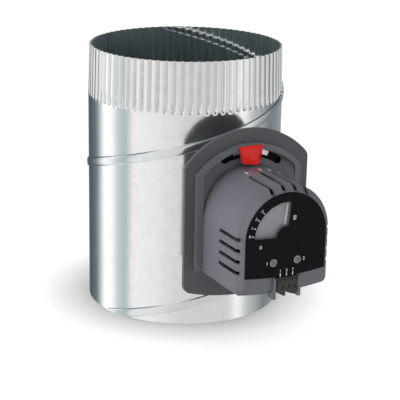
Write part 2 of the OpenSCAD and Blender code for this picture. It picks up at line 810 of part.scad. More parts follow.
// Degrees that the lens reaches past the window
lens_lap_a = 6;
module dial_window(grow = 0) {
    lap_a = grow > 0 ? lens_lap_a : 0;
    translate(dial_at) intersection() {
        difference() {
            circle(dial_r + grow);
            circle(dial_in_r - grow);
        }
        sector(dial_r, -dial_end_a - lap_a, needle_a + lap_a);
    }
}
module arc_slot() {
    intersection() {
        difference() {
            circle(slot_r + slot_w / 2);
            circle(slot_r - slot_w / 2);
        }
        sector(recess_r, -slot_left_a, slot_right_a);
    }
    for (a = [-slot_left_a, slot_right_a]) translate(slot_r * [sin(a), cos(a)]) circle(slot_w / 2);
}
module board_posts(r, d0, d1) {
    for (side = [-1, 1]) rod(r, d0, d1, [side * board_post_x, -board_post_down]);
}
module cover() {
    color("slategray") difference() {
        union() {
            difference() {
                union() {
                    slab(plate_d, plinth_d) plinth_outline();
                    body_form(plate_d, face_d, 0);
                    slab(recess_d - recess_floor, plinth_d) recess_outline(recess_wall);
                    for (side = [-1, 1])
                        translate([plug_x + side * (notch_half_w + guard_w / 2), 0, 0])
                            slab(bevel_d - over, guard_d) translate([-guard_w / 2, -guard_low])
                                square([guard_w, guard_low - plug_down]);
                }
                // hollow body and plinth, with the recess tub left standing
                body_form(recess_d - recess_floor - over, face_in_d, cover_wall);
                difference() {
                    slab(plate_d - over, plinth_d - cover_wall) plinth_outline(cover_wall);
                    slab(pan_d, plinth_d) recess_outline(recess_wall);
                }
            }
            // side and top walls of the terminal notch
            slab(notch_d + lever_gap, face_in_d + slice)
                translate([plug_x - notch_half_w - notch_wall, -body_down])
                    square([2 * (notch_half_w + notch_wall), notch_top + body_down + notch_wall]);
            for (at = post_at) slab(frame_d + frame_t, boss_end_d) {
                translate(at) circle(post_r + pan_wall / 2);
                mirror([at[0] < 0 ? 1 : 0, 0]) translate([post_x, at[1] - post_r / 2])
                    square([root_r - over - post_x, post_r]);
            }
            board_posts(post_r, board_d + board_t, face_in_d + slice);
            for (at = dial_post_at) rod(dial_post_r, dial_plate_d + dial_plate_t, face_in_d + slice, at);
        }
        // lever recess and its slot
        difference() {
            slab(recess_d, face_d) recess_outline();
            hull() {
                body_slice(recess_d - over, root_r - body_r);
                body_slice(face_d, root_r - body_r);
            }
            translate([-duct_r, 0, shaft_z]) rotate([90, 0, 90]) linear_extrude(duct_r)
                polygon([[-recess_d, ramp_top], [-plinth_d, recess_tip], [-plinth_d, -duct_r], [0, -duct_r],
                    [0, ramp_top]]);
            on_axis() rotate([0, recess_rise_a, 0]) linear_extrude(2 * recess_r)
                polygon([[0, -recess_d], [recess_rise, -plinth_d], [duct_d, -plinth_d], [duct_d, 0], [0, 0]]);
        }
        slab(recess_d - recess_floor - over, plinth_d) arc_slot();
        // vents in both sides and the top
        for (side = [-1, 1]) for (i = [0:vent_n - 1])
            translate([side * body_r, 0, vent_side_up - i * vent_side_pitch])
                slab(bevel_d + bevel_len / 2 - vent_side_len, bevel_d + bevel_len / 2)
                    square([2 * (cover_wall + over), vent_w], center = true);
        slab(face_d - vent_top_len, face_d + over) difference() {
            for (i = [0:vent_n - 1]) translate([vent_top_x + i * vent_top_pitch - vent_w / 2, label_r / 2])
                square([vent_w, 2 * body_r]);
            translate([0, arch_up]) circle(label_r + over / 2);
        }
        // dial window, lamp holes, terminal notch and screw holes
        slab(face_in_d - over, face_d + over) dial_window();
        for (at = lamp_at) rod(lamp_d / 2 + seat_gap, face_in_d - over, face_d + over, at);
        slab(notch_d, guard_d + over) translate([plug_x - notch_half_w, -2 * body_down])
            square([2 * notch_half_w, notch_top + 2 * body_down]);
        for (at = post_at) rod(long_screw_r + seat_gap / 2, frame_d, long_screw_front_d + over, at);
        board_posts(board_screw_r + seat_gap / 2, board_d, face_in_d);
    }
}
// Long screws from behind the pan, through posts and gear frame, into the cover
module cover_screws() {
    color("gainsboro") for (at = post_at) difference() {
        union() {
            rod(long_screw_r, pan_d - long_head_t, long_screw_front_d, at);
            rod(long_head_r, pan_d - long_head_t, pan_d, at);
        }
        translate([at[0], 0, at[1]]) slab(pan_d - long_head_t - over, pan_d - long_head_t / 2)
            for (turn = [0, 90]) rotate(turn) square([long_head_r, long_head_r / 4], center = true);
    }
}

// Face

module label_outline() {
    difference() {
        arched(label_r, arch_up, label_down, label_bow);
        dial_window();
        for (at = lamp_at) translate(at) circle(lamp_d / 2 + seat_gap);
    }
}
module face_label() {
    color("black") slab(face_d, face_d + label_t) label_outline();
}
module dial_plate() {
    color("gray") slab(dial_plate_d, dial_plate_d + dial_plate_t) difference() {
        translate(dial_at) intersection() {
            circle(dial_r + 2 * dial_post_r + over + 2 * seat_gap);
            translate([-dial_r - dial_in_r, -dial_in_r])
                square([dial_r + 2 * dial_in_r, 2 * dial_r]);
        }
        circle(tube_r + stage_gap);
    }
}
module window_lens() {
    color("lightgray", 0.4) slab(face_in_d - lens_t, face_in_d) dial_window(over);
}
module lamp(at) {
    color("white", 0.8) {
        rod(lamp_d / 2, board_d + board_t, face_d + label_t, at);
        translate([at[0], -face_d - label_t, shaft_z + at[1]]) rotate([90, 0, 0])
            cylinder(r1 = lamp_d / 2, r2 = lamp_d / 4, h = lamp_d / 8);
    }
}
module open_lamp() {
    lamp(lamp_at[0]);
}
module closed_lamp() {
    lamp(lamp_at[1]);
}

// Circuit board and terminal block

board_up = -10;
board_low = -36;
module circuit_board() {
    color("darkgreen") slab(board_d, board_d + board_t) difference() {
        translate([-board_r, board_low]) square([2 * board_r, board_up - board_low]);
        for (side = [-1, 1]) translate([side * board_post_x, -board_post_down])
            circle(board_screw_r + seat_gap);
        for (i = [-1:1]) translate([plug_x + i * pin_pitch, pin_up])
            square(pin_w + 2 * seat_gap, center = true);
    }
}
module board_screws() {
    color("silver") {
        board_posts(board_screw_r, board_d - board_screw_r, board_d + 4 * board_screw_r);
        board_posts(2 * board_screw_r, board_d - board_screw_r, board_d);
    }
}
pin_w = 1;
pin_up = -31;
module terminal_header() {
    color("dimgray") slab(board_d + board_t, board_d + board_t + header_t) difference() {
        translate([plug_x - plug_w / 2, -plug_down - plug_h + over]) square([plug_w, plug_h - over]);
        for (i = [-1:1]) translate([plug_x + i * pin_pitch, pin_up])
            square(pin_w + 2 * run_gap, center = true);
    }
}
module header_pins() {
    color("gold") for (i = [-1:1]) translate([plug_x + i * pin_pitch, 0, pin_up])
        slab(board_d - over, plug_front_d - plug_len / 2) square(pin_w, center = true);
}

// Plug with three screw terminals, wire ports below and a split foot
foot_cut = 3;
port_w = 2.6;
plug_screw_r = 1.7;
plug_screw_up = -34.4;
module terminal_plug() {
    bottom = -plug_down - plug_h;
    color("dimgray") difference() {
        slab(plug_back_d, plug_front_d) polygon([
            [plug_x - plug_w / 2, -plug_down], [plug_x + plug_w / 2, -plug_down],
            [plug_x + plug_w / 2, bottom + foot_cut / 2], [plug_x + plug_w / 2 - foot_cut / 2, bottom],
            [plug_x + foot_cut, bottom + foot_cut / 3], [plug_x - foot_cut / 2, bottom + foot_cut],
            [plug_x - foot_cut / 2, bottom], [plug_x - foot_cut, bottom],
            [plug_x - plug_w / 2, bottom + foot_cut]]);
        for (i = [-1:1]) translate([plug_x + i * pin_pitch, 0, 0]) {
            translate([0, 0, pin_up]) slab(plug_back_d - over, plug_front_d - plug_len / 2 + over)
                square(pin_w + 2 * lever_gap + seat_gap, center = true);
            rod(plug_screw_r + run_gap, plug_front_d - foot_cut, plug_front_d + over, [0, plug_screw_up]);
            slab(plug_back_d + foot_cut, plug_back_d + foot_cut + port_w)
                translate([-port_w / 2, bottom - over]) square([port_w, foot_cut * 2]);
        }
        // shallow step along the front's upper edge
        slab(plug_front_d - over, plug_front_d + over) translate([plug_x - plug_w, -plug_down - foot_cut / 2])
            square([2 * plug_w, foot_cut]);
    }
}
module plug_screws() {
    color("silver") for (i = [-1:1]) translate([plug_x + i * pin_pitch, 0, plug_screw_up]) difference() {
        rod(plug_screw_r, plug_front_d - foot_cut, plug_front_d - over / 2);
        slab(plug_front_d - over, plug_front_d) square([2 * plug_screw_r, plug_screw_r / 4], center = true);
    }
}

// Drive

frame_in = 3.2;
frame_r = body_r - frame_in;
frame_low = -36;
frame_up = -0.6;
spring_post_at = [24, -3.6];
tube_r = 5;
module gear_frame() {
    color("silver") {
        slab(frame_d, frame_d + frame_t) difference() {
            translate([-frame_r, frame_low]) square([2 * frame_r, frame_up - frame_low]);
            circle(shoulder_r + stage_gap);
            translate(motor_at) circle(pitch_r(pinion_teeth) + gear_m + lever_gap);
            translate(idler_at) circle(axle_d / 2 + run_gap);
            for (at = post_at) translate(at) circle(long_screw_r + seat_gap);
            for (at = ear_at) translate(at) circle(motor_screw_r + run_gap);
        }
        rod(axle_d / 2, frame_d, spring_d0 + spring_w, spring_post_at);
    }
}
motor_screw_r = 1.45;
motor_ear = 16.5;
motor_ear_a = 20;
ear_at = [for (side = [-1, 1]) motor_at + side * motor_ear * [cos(motor_ear_a), sin(motor_ear_a)]];
ear_t = 1;
module gear_motor() {
    back = frame_d + frame_t;
    color("silver") difference() {
        union() {
            rod(motor_d / 2, back, motor_front_d, motor_at);
            slab(back, back + ear_t) translate(motor_at) rotate(motor_ear_a)
                square([2 * motor_ear + 2 * axle_d, 2 * axle_d], center = true);
        }
        rod(axle_d / 2 + run_gap, back - over, back + motor_len / 2, motor_at);
        for (at = ear_at) rod(motor_screw_r + run_gap, back - over, back + ear_t + over, at);
    }
}
module motor_screws() {
    back = frame_d + frame_t;
    color("gainsboro") for (at = ear_at) {
        rod(motor_screw_r, frame_d, back + ear_t + motor_screw_r, at);
        rod(motor_screw_r * 1.8, back + ear_t, back + ear_t + motor_screw_r, at);
    }
}
module idler_axle() {
    color("silver") rod(axle_d / 2, pan_d, frame_d + frame_t + axle_d / 2, idler_at);
}
module output_gear() {
    bore = shaft_r + run_gap;
    color("ivory") difference() {
        union() {
            gear(out_teeth, out_gear_d, out_gear_d + out_gear_t, turn = out_turn);
            rod(shoulder_r, boss_front_d + lever_gap, out_gear_d);
            rod(hub_r + over, out_gear_d, shaft_front_d);
        }
        rod(bore, pan_d, shaft_front_d + over);
        clamp_place() cylinder(r = clamp_r + run_gap, h = 2 * hub_r);
    }
}
// Set screw that grips the shaft through the hub's nose
clamp_r = 1.2;
module clamp_place() {
    translate([0, -shaft_front_d + hub_nose / 2, shaft_z]) rotate([0, 90, 0]) children();
}
module gear_clamp_screw() {
    color("dimgray") clamp_place() difference() {
        across(clamp_r, shaft_r + run_gap, hub_r + over - run_gap);
        translate([0, 0, hub_r]) cylinder(r = clamp_r / 2, h = over, $fn = 6);
    }
}
module indicator_tube() {
    color("ivory") difference() {
        union() {
            rod(hub_r + over, shaft_front_d, shaft_front_d + cover_wall);
            rod(tube_r, shaft_front_d, needle_d);
        }
        rod(tube_r - cover_wall, shaft_front_d - over, needle_d - cover_wall);
    }
}
needle_w = 1.8;
needle_hub_r = 6;
module indicator_needle() {
    tip = dial_r - stage_gap;
    half = needle_w / 2;
    color("white") {
        rod(needle_hub_r, needle_d, needle_d + needle_t);
        slab(needle_d, needle_d + needle_t) rotate(-needle_a)
            polygon([[-half, 0], [half, 0], [half * 0.7, tip], [-half * 0.7, tip]]);
    }
}
module idler_gear() {
    color("ivory") difference() {
        union() {
            gear(small_teeth, out_gear_d, idler_gear_d, idler_at, idler_turn);
            gear(large_teeth, idler_gear_d, idler_gear_d + idler_t, idler_at, large_turn);
        }
        rod(axle_d / 2 + run_gap, pan_d, frame_d, idler_at);
    }
}
module motor_pinion() {
    color("gold") {
        gear(pinion_teeth, idler_gear_d, frame_d + frame_t / 2, motor_at, pinion_turn);
        rod(axle_d / 2, idler_gear_d, frame_d + frame_t + motor_len / 3, motor_at);
    }
}

// Flat spiral spring: its inner end hugs the indicator tube, its outer end hooks round a post
spring_wire = 0.5;
spring_steps = 24;
hook_r = axle_d / 2 + seat_gap + spring_wire / 2;
hook_a = 200;
spring_in_r = tube_r + seat_gap + spring_wire / 2;
spring_out_r = norm(spring_post_at) - hook_r;
module return_spring() {
    post_a = atan2(spring_post_at[0], spring_post_at[1]);
    end_a = post_a + 360 * spring_turns;
    steps = spring_steps * spring_turns;
    function wound(i, side) = let (a = end_a * i / steps)
        (spring_in_r + (spring_out_r - spring_in_r) * i / steps + side * spring_wire / 2) * [sin(a), cos(a)];
    function hooked(i, side) = let (a = post_a + 180 - hook_a * i / spring_steps)
        spring_post_at + (hook_r - side * spring_wire / 2) * [sin(a), cos(a)];
    color("steelblue") slab(spring_d0, spring_d0 + spring_w) polygon(concat(
        [for (i = [0:steps]) wound(i, 1)], [for (i = [1:spring_steps]) hooked(i, 1)],
        [for (i = [spring_steps:-1:1]) hooked(i, -1)], [for (i = [steps:-1:0]) wound(i, -1)]));
}

// Stop lever: a ring on the plate's boss, an arm and a curved head, with a tab for the knob
head_in = 0.9;
head_in_r = slot_r - head_in;
head_w = 3.8;
head_left_a = -12;
head_right_a = 23;
tab_w = 6;
module stop_lever() {
    color("gainsboro") {
        slab(lever_d, lever_d + lever_t) difference() {
            union() {
                circle(shoulder_r + over);
                translate([-lever_w / 2, 0]) square([lever_w, head_in_r + head_w / 2]);
                intersection() {
                    difference() {
                        circle(head_in_r + head_w);
                        circle(head_in_r);
                    }
                    sector(recess_r, head_left_a, head_right_a);
                }
            }
            circle(boss_r + run_gap);
        }
        slab(lever_d, knob_front_d - knob_wall) translate([-tab_w / 2, slot_r - lever_t / 2])
            square([tab_w, lever_t]);
    }
}
knob_wall = 1.6;
knob_back_d = plinth_d + stage_gap;
knob_in = 6.8;
knob_low = slot_r - knob_in;
knob_front_d = plinth_d + knob_proud;
knob_bevel = 6;
knob_slant = 2;
// Cap pushed onto the tab, bevelled on its right and drawn in at its foot
module lever_knob() {
    half = knob_w / 2;
    top = knob_low + knob_h;
    taper = knob_bevel / 8;
    color("red") difference() {
        hull() {
            slab(knob_back_d, knob_back_d + slice) polygon([
                [-half + knob_foot, knob_low + knob_slant], [half - knob_foot, knob_low + knob_slant],
                [half, top], [-half, top]]);
            slab(knob_front_d - slice, knob_front_d) polygon([
                [-half + knob_foot, knob_low + knob_slant], [half - knob_bevel, knob_low],
                [half - knob_bevel, top - taper], [-half, top - taper]]);
        }
        slab(plate_d, knob_front_d - knob_wall)
            translate([-tab_w / 2 - run_gap, slot_r - lever_t / 2 - run_gap])
                square([tab_w + 2 * run_gap, lever_t + 2 * run_gap]);
    }
}

duct_shell();
standoff_bracket();
bracket_rivets();
front_bearing();
rear_bearing();
base_plate();
plate_screws();
cover();
cover_screws();
face_label();
dial_plate();
window_lens();
open_lamp();
closed_lamp();
circuit_board();
board_screws();
terminal_header();
header_pins();
gear_frame();
gear_motor();
motor_screws();
idler_axle();
return_spring();
damper_shaft();
shaft_clip();
blade_disc_upper();
blade_disc_lower();
blade_seal();
blade_rivets();
blade_bolts();
blade_nuts();
output_gear();
gear_clamp_screw();
indicator_tube();
indicator_needle();
idler_gear();
motor_pinion();
stop_lever();
lever_knob();
terminal_plug();
plug_screws();
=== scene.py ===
"""Looks of a motorised round duct damper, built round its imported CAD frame.

The scene holds a crimped spiral duct, a standoff bracket and a geared actuator
with a dial, a stop lever and a terminal plug. Lengths are in metres, in the
row's frame: the duct's plain end is at zero and +Z runs to its crimped end.
"""

import json
import logging
import math
from dataclasses import dataclass, field
from enum import Enum, IntEnum
from typing import Callable, Optional, Sequence

import bmesh
import bpy
from mathutils import Matrix, Vector

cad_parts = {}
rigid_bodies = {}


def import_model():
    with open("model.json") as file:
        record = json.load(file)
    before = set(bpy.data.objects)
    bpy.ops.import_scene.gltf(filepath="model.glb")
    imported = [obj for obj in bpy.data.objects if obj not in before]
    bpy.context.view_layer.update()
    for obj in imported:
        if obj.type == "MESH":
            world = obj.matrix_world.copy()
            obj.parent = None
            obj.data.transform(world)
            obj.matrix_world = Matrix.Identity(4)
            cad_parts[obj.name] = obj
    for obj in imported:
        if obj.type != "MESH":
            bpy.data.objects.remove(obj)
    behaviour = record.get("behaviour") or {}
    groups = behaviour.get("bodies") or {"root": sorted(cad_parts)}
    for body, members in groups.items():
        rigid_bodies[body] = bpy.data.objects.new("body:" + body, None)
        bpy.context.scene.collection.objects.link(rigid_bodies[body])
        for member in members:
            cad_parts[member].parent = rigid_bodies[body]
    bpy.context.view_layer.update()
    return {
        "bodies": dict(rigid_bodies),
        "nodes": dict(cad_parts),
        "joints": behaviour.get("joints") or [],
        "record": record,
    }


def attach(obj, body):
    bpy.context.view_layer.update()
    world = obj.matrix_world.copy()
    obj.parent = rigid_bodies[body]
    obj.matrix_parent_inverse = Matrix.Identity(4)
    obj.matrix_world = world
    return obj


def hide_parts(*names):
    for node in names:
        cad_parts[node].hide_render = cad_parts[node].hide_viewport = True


LOG = logging.getLogger("damper")
MM = 0.001
MERGE = 1e-7  # Distance, in metres, under which points of a new mesh merge

Color = tuple[float, float, float]
Point = tuple[float, float, float]
Flat = tuple[float, float]
Element = bmesh.types.BMVert | bmesh.types.BMEdge
Socket = bpy.types.NodeSocket
Outputs = bpy.types.bpy_prop_collection


class Body(str, Enum):
    """Bodies of the CAD frame that pieces ride on."""

    ROOT = "duct_and_actuator"
    BLADE = "blade"
    IDLER = "idler"
    PINION = "pinion"
    LEVER = "lever"
    PLUG = "plug"


@dataclass(frozen=True)
class Places:
    """Places shared by the sub-assemblies, in millimetres, as the CAD source has them.

    Attributes:
        duct_r: outer radius of the duct.
        length: length of the duct.
        shaft_z: height of the shaft over the plain end.
        face_d: depth of the actuator's face in front of the duct's axis.
    """

    duct_r: float = 76.2
    length: float = 204.5
    shaft_z: float = 93.8
    face_d: float = 162.0


PLACES = Places()


class Graph:
    """A thin layer over a node tree that adds, sets and links nodes."""

    def __init__(self, tree: bpy.types.NodeTree) -> None:
        """Takes the tree that the nodes go into."""
        self.tree = tree

    def put(self, node: bpy.types.Node, inputs: dict) -> None:
        """Sets or links inputs of a node.

        Args:
            node: the node.
            inputs: values or sockets, keyed by input name or number.
        """
        for name, value in inputs.items():
            if isinstance(value, Socket):
                self.tree.links.new(value, node.inputs[name])
            else:
                node.inputs[name].default_value = value

    def add(self, kind: str, inputs: Optional[dict] = None, **settings: object) -> bpy.types.Node:
        """Adds a node.

        Args:
            kind: the node's type name.
            inputs: values or sockets, keyed by input name or number.
            **settings: properties of the node.

        Returns:
            The new node.
        """
        node = self.tree.nodes.new(kind)
        for name, value in settings.items():
            setattr(node, name, value)
        self.put(node, inputs or {})
        return node

    def math(self, operation: str, *values: float | Socket) -> Socket:
        """Adds a math node and returns its result."""
        return self.add("ShaderNodeMath", dict(enumerate(values)), operation=operation).outputs[0]

    def vector(self, operation: str, first: Socket, second: Point | Socket) -> Socket:
        """Adds a vector math node and returns its result."""
        return self.add("ShaderNodeVectorMath", {0: first, 1: second}, operation=operation).outputs[0]

    def noise(self, place: Socket, scale: float | Socket, detail: float, rough: float = 0.5) -> Outputs:
        """Adds a noise texture and returns its outputs."""
        return self.add("ShaderNodeTexNoise", {"Vector": place, "Scale": scale, "Detail": detail,
                                               "Roughness": rough}).outputs

    def effect(self, tree: bpy.types.NodeTree, place: Socket, **values: float | Point) -> Outputs:
        """Adds a shared effect at these coordinates, with its own values, and returns its outputs."""
        return self.add("ShaderNodeGroup", {"Vector": place, **values}, node_tree=tree).outputs

    def ramp(self, factor: Socket, stops: Sequence[tuple[float, Color]]) -> Socket:
        """Adds a colour ramp.

        Args:
            factor: the value that it reads.
            stops: places from 0 to 1, each with its colour.

        Returns:
            The ramp's colour.
        """
        node = self.add("ShaderNodeValToRGB", {"Fac": factor})
        elements = node.color_ramp.elements
        while len(elements) < len(stops):
            elements.new(1.0)
        for element, (place, color) in zip(elements, stops):
            element.position = place
            element.color = (*color, 1.0)
        return node.outputs["Color"]

    def blend(self, factor: Socket, first: Color, second: Color) -> Socket:
        """Mixes two colours and returns the result."""
        colors = {6: (*first, 1.0), 7: (*second, 1.0)}
        return self.add("ShaderNodeMix", {0: factor, **colors}, data_type="RGBA").outputs[2]

    def weigh(self, first: Socket, second: Socket, share: float) -> Socket:
        """Adds a share of the first value to the rest of the second one and returns the sum."""
        rest = self.math("MULTIPLY", second, 1.0 - share)
        return self.math("ADD", self.math("MULTIPLY", first, share), rest)

    def spread(self, factor: Socket, low: float, high: float) -> Socket:
        """Maps a factor from 0..1 to low..high and returns the result."""
        return self.add("ShaderNodeMapRange", {"Value": factor, "To Min": low, "To Max": high}).outputs[0]


class Surface(Graph):
    """The nodes of one material: its shader, its object coordinates and its relief."""

    def __init__(self, tree: bpy.types.NodeTree) -> None:
        """Empties a material's tree and adds the shader, the output and the coordinates.

        Args:
            tree: the material's node tree.
        """
        super().__init__(tree)
        tree.nodes.clear()
        self.shader = self.add("ShaderNodeBsdfPrincipled")
        self.add("ShaderNodeOutputMaterial", {"Surface": self.shader.outputs[0]}).is_active_output = True
        self.place = self.add("ShaderNodeTexCoord").outputs["Object"]
        self.normal: Optional[Socket] = None

    def relief(self, height: Socket, depth: float) -> None:
        """Adds a layer of relief over the layers before it.

        Args:
            height: the height that it reads.
            depth: its depth, in metres.
        """
        inputs = {"Height": height, "Distance": depth, "Strength": 1.0}
        if self.normal is not None:
            inputs["Normal"] = self.normal
        self.normal = self.add("ShaderNodeBump", inputs).outputs[0]
        self.put(self.shader, {"Normal": self.normal})


class Effects:
    """Shared node groups; each is made once and gives only masks and values."""

    # How far, in metres, the borders of the zinc crystals stray along X, Y and Z
    WARP = (0.006, 0.006, 0.006)

    @staticmethod
    def _group(name: str, setting: tuple[str, str, object], outputs: Sequence[str],
               build: Callable[[Graph, Outputs], Sequence[Socket]]) -> bpy.types.NodeTree:
        """Makes a node group that reads coordinates, or finds it.

        Args:
            name: the group's name.
            setting: label, socket type and default of its second input.
            outputs: labels of its outputs, which are plain values.
            build: adds its nodes, from the inputs to the sockets that go out.

        Returns:
            The group.
        """
        found = bpy.data.node_groups.get(name)
        if found:
            return found
        tree = bpy.data.node_groups.new(name, "ShaderNodeTree")
        label, kind, default = setting
        tree.interface.new_socket(name="Vector", in_out="INPUT", socket_type="NodeSocketVector")
        tree.interface.new_socket(name=label, in_out="INPUT", socket_type=kind).default_value = default
        for output in outputs:
            tree.interface.new_socket(name=output, in_out="OUTPUT", socket_type="NodeSocketFloat")
        graph = Graph(tree)
        given = graph.add("NodeGroupInput").outputs
        end = graph.add("NodeGroupOutput")
        graph.put(end, dict(enumerate(build(graph, given))))
        return tree

    @classmethod
    def grain(cls) -> bpy.types.NodeTree:
        """Moulded grain: a broad cloud mask and a fine height.

        Returns:
            The node group.
        """

        def build(graph: Graph, given: Outputs) -> Sequence[Socket]:
            """Adds the cloud and the grain.

            Args:
                graph: the group's nodes.
                given: its inputs.

            Returns:
                The cloud and the height.
            """
            cloud = graph.noise(given["Vector"], scale=38.0, detail=3.0, rough=0.6)
            fine = graph.noise(given["Vector"], given["Scale"], detail=4.0, rough=0.65)
            return cloud["Fac"], fine["Fac"]

        return cls._group("Moulded grain", ("Scale", "NodeSocketFloat", 900.0), ["Cloud", "Height"], build)

    @classmethod
    def brushed(cls) -> bpy.types.NodeTree:
        """Rolled or brushed sheet: streaks along one axis and a cloud mask.

        Returns:
            The node group.
        """

        def build(graph: Graph, given: Outputs) -> Sequence[Socket]:
            """Adds the streaks and the cloud.

            Args:
                graph: the group's nodes.
                given: its inputs.

            Returns:
                The streaks and the cloud.
            """
            stretched = graph.vector("MULTIPLY", given["Vector"], given["Stretch"])
            streak = graph.noise(stretched, scale=1.0, detail=5.0, rough=0.55)
            cloud = graph.noise(given["Vector"], scale=22.0, detail=3.0)
            return streak["Fac"], cloud["Fac"]

        return cls._group("Brushed sheet", ("Stretch", "NodeSocketVector", (900.0, 900.0, 20.0)),
                          ["Streak", "Cloud"], build)

    @classmethod
    def spangle(cls) -> bpy.types.NodeTree:
        """Zinc crystals: one value per crystal, blurred at their borders.

        Returns:
            The node group.
        """

        def build(graph: Graph, given: Outputs) -> Sequence[Socket]:
            """Adds the crystals, at warped coordinates.

            Args:
                graph: the group's nodes.
                given: its inputs.

            Returns:
                The value of each crystal.
            """
            warp = graph.noise(given["Vector"], scale=260.0, detail=2.0)
            moved = graph.vector("MULTIPLY", warp["Color"], cls.WARP)
            place = graph.vector("ADD", given["Vector"], moved)
            cells = graph.add("ShaderNodeTexVoronoi", {"Vector": place, "Scale": given["Scale"],
                                                       "Randomness": 1.0})
            split = graph.add("ShaderNodeSeparateColor", {"Color": cells.outputs["Color"]})
            return (split.outputs[0],)

        return cls._group("Zinc spangle", ("Scale", "NodeSocketFloat", 190.0), ["Crystal"], build)


class Steps(IntEnum):
    """Steps in a rounding."""

    FINE = 1
    SOFT = 2
    ROUND = 3


class Look(Enum):
    """Kinds of surface, each with its own layers."""

    PLASTIC = "plastic"
    METAL = "metal"
    GALVANISED = "galvanised"
    CLEAR = "clear"


@dataclass(frozen=True)
class Finish:
    """One surface finish.

    Attributes:
        name: the material's name.
        slot: the record's material slot; not used.
        look: the kind of surface.
        color: the main colour.
        shade: the second colour, which the cloud mask brings in.
        roughness: the mean roughness.
        spread: how far the roughness varies.
        scale: fineness of the grain, in features per metre.
        relief: depth of the grain, in metres.
        stretch: scale of the streaks along X, Y and Z.
        gloss: level of the shader's own reflection.
        coat: strength of a clear coat.
        alpha: opacity, for clear finishes.
    """

    name: str
    slot: str
    look: Look
    color: Color
    shade: Color
    roughness: float = 0.5
    spread: float = 0.12
    scale: float = 1100.0
    relief: float = 0.00004
    stretch: Point = (900.0, 900.0, 18.0)
    gloss: float = 0.5
    coat: float = 0.0
    alpha: float = 1.0

    # The slow waves of galvanised sheet: their stretch, scale and depth in metres
    WAVE_STRETCH = (1.0, 1.0, 0.3)
    WAVE_SCALE = 28.0
    WAVE_DEPTH = 0.0003

    # The crystals' part in the colour and in the roughness of galvanised sheet
    CRYSTAL_COLOR_SHARE = 0.35
    CRYSTAL_ROUGH_SHARE = 0.5

    def material(self) -> bpy.types.Material:
        """Makes this finish's material, or finds it.

        Returns:
            The material.
        """
        found = bpy.data.materials.get(self.name)
        if found:
            return found
        made = bpy.data.materials.new(self.name)
        made.use_nodes = True
        layers = {Look.PLASTIC: self._plastic, Look.METAL: self._metal,
                  Look.GALVANISED: self._galvanised, Look.CLEAR: self._clear}
        layers[self.look](Surface(made.node_tree))
        made.diffuse_color = (*self.color, self.alpha)
        return made

    def _dress(self, on: Surface, cloud: Socket, rough: Optional[Socket] = None) -> None:
        """Gives the shader its colour and its roughness.

        Args:
            on: the material's nodes.
            cloud: the mask that brings in the second colour.
            rough: what the roughness varies with, or nothing for an even one.
        """
        color = on.blend(cloud, self.color, self.shade)
        on.put(on.shader, {"Base Color": color, "Roughness": self.roughness})
        if rough is not None:
            level = on.spread(rough, self.roughness - self.spread, self.roughness + self.spread)
            on.put(on.shader, {"Roughness": level})

    def _plastic(self, on: Surface) -> None:
        """Adds the layers of moulded plastic.

        Args:
            on: the material's nodes.
        """
        grain = on.effect(Effects.grain(), on.place, Scale=self.scale)
        self._dress(on, grain["Cloud"], grain["Height"])
        on.put(on.shader, {"Coat Weight": self.coat, "Specular IOR Level": self.gloss})
        on.relief(grain["Height"], self.relief)

    def _metal(self, on: Surface) -> None:
        """Adds the layers of plain metal.

        Args:
            on: the material's nodes.
        """
        sheet = on.effect(Effects.brushed(), on.place, Stretch=self.stretch)
        self._dress(on, sheet["Cloud"], sheet["Streak"])
        on.put(on.shader, {"Metallic": 1.0})
        on.relief(sheet["Streak"], self.relief)

    def _galvanised(self, on: Surface) -> None:
        """Adds the layers of galvanised sheet: crystals, streaks and slow waves.

        Args:
            on: the material's nodes.
        """
        sheet = on.effect(Effects.brushed(), on.place, Stretch=self.stretch)
        crystal = on.effect(Effects.spangle(), on.place, Scale=self.scale)["Crystal"]
        self._dress(on, on.weigh(crystal, sheet["Cloud"], self.CRYSTAL_COLOR_SHARE),
                    on.weigh(crystal, sheet["Streak"], self.CRYSTAL_ROUGH_SHARE))
        on.put(on.shader, {"Metallic": 1.0})
        drawn = on.vector("MULTIPLY", on.place, self.WAVE_STRETCH)
        on.relief(on.noise(drawn, self.WAVE_SCALE, detail=1.0)["Fac"], self.WAVE_DEPTH)
        on.relief(sheet["Streak"], self.relief)

    def _clear(self, on: Surface) -> None:
        """Adds the layers of clear plastic.

        Args:
            on: the material's nodes.
        """
        cloud = on.effect(Effects.grain(), on.place)["Cloud"]
        self._dress(on, cloud)
        on.put(on.shader, {"Alpha": self.alpha, "Coat Weight": self.coat})
        on.relief(cloud, self.relief)


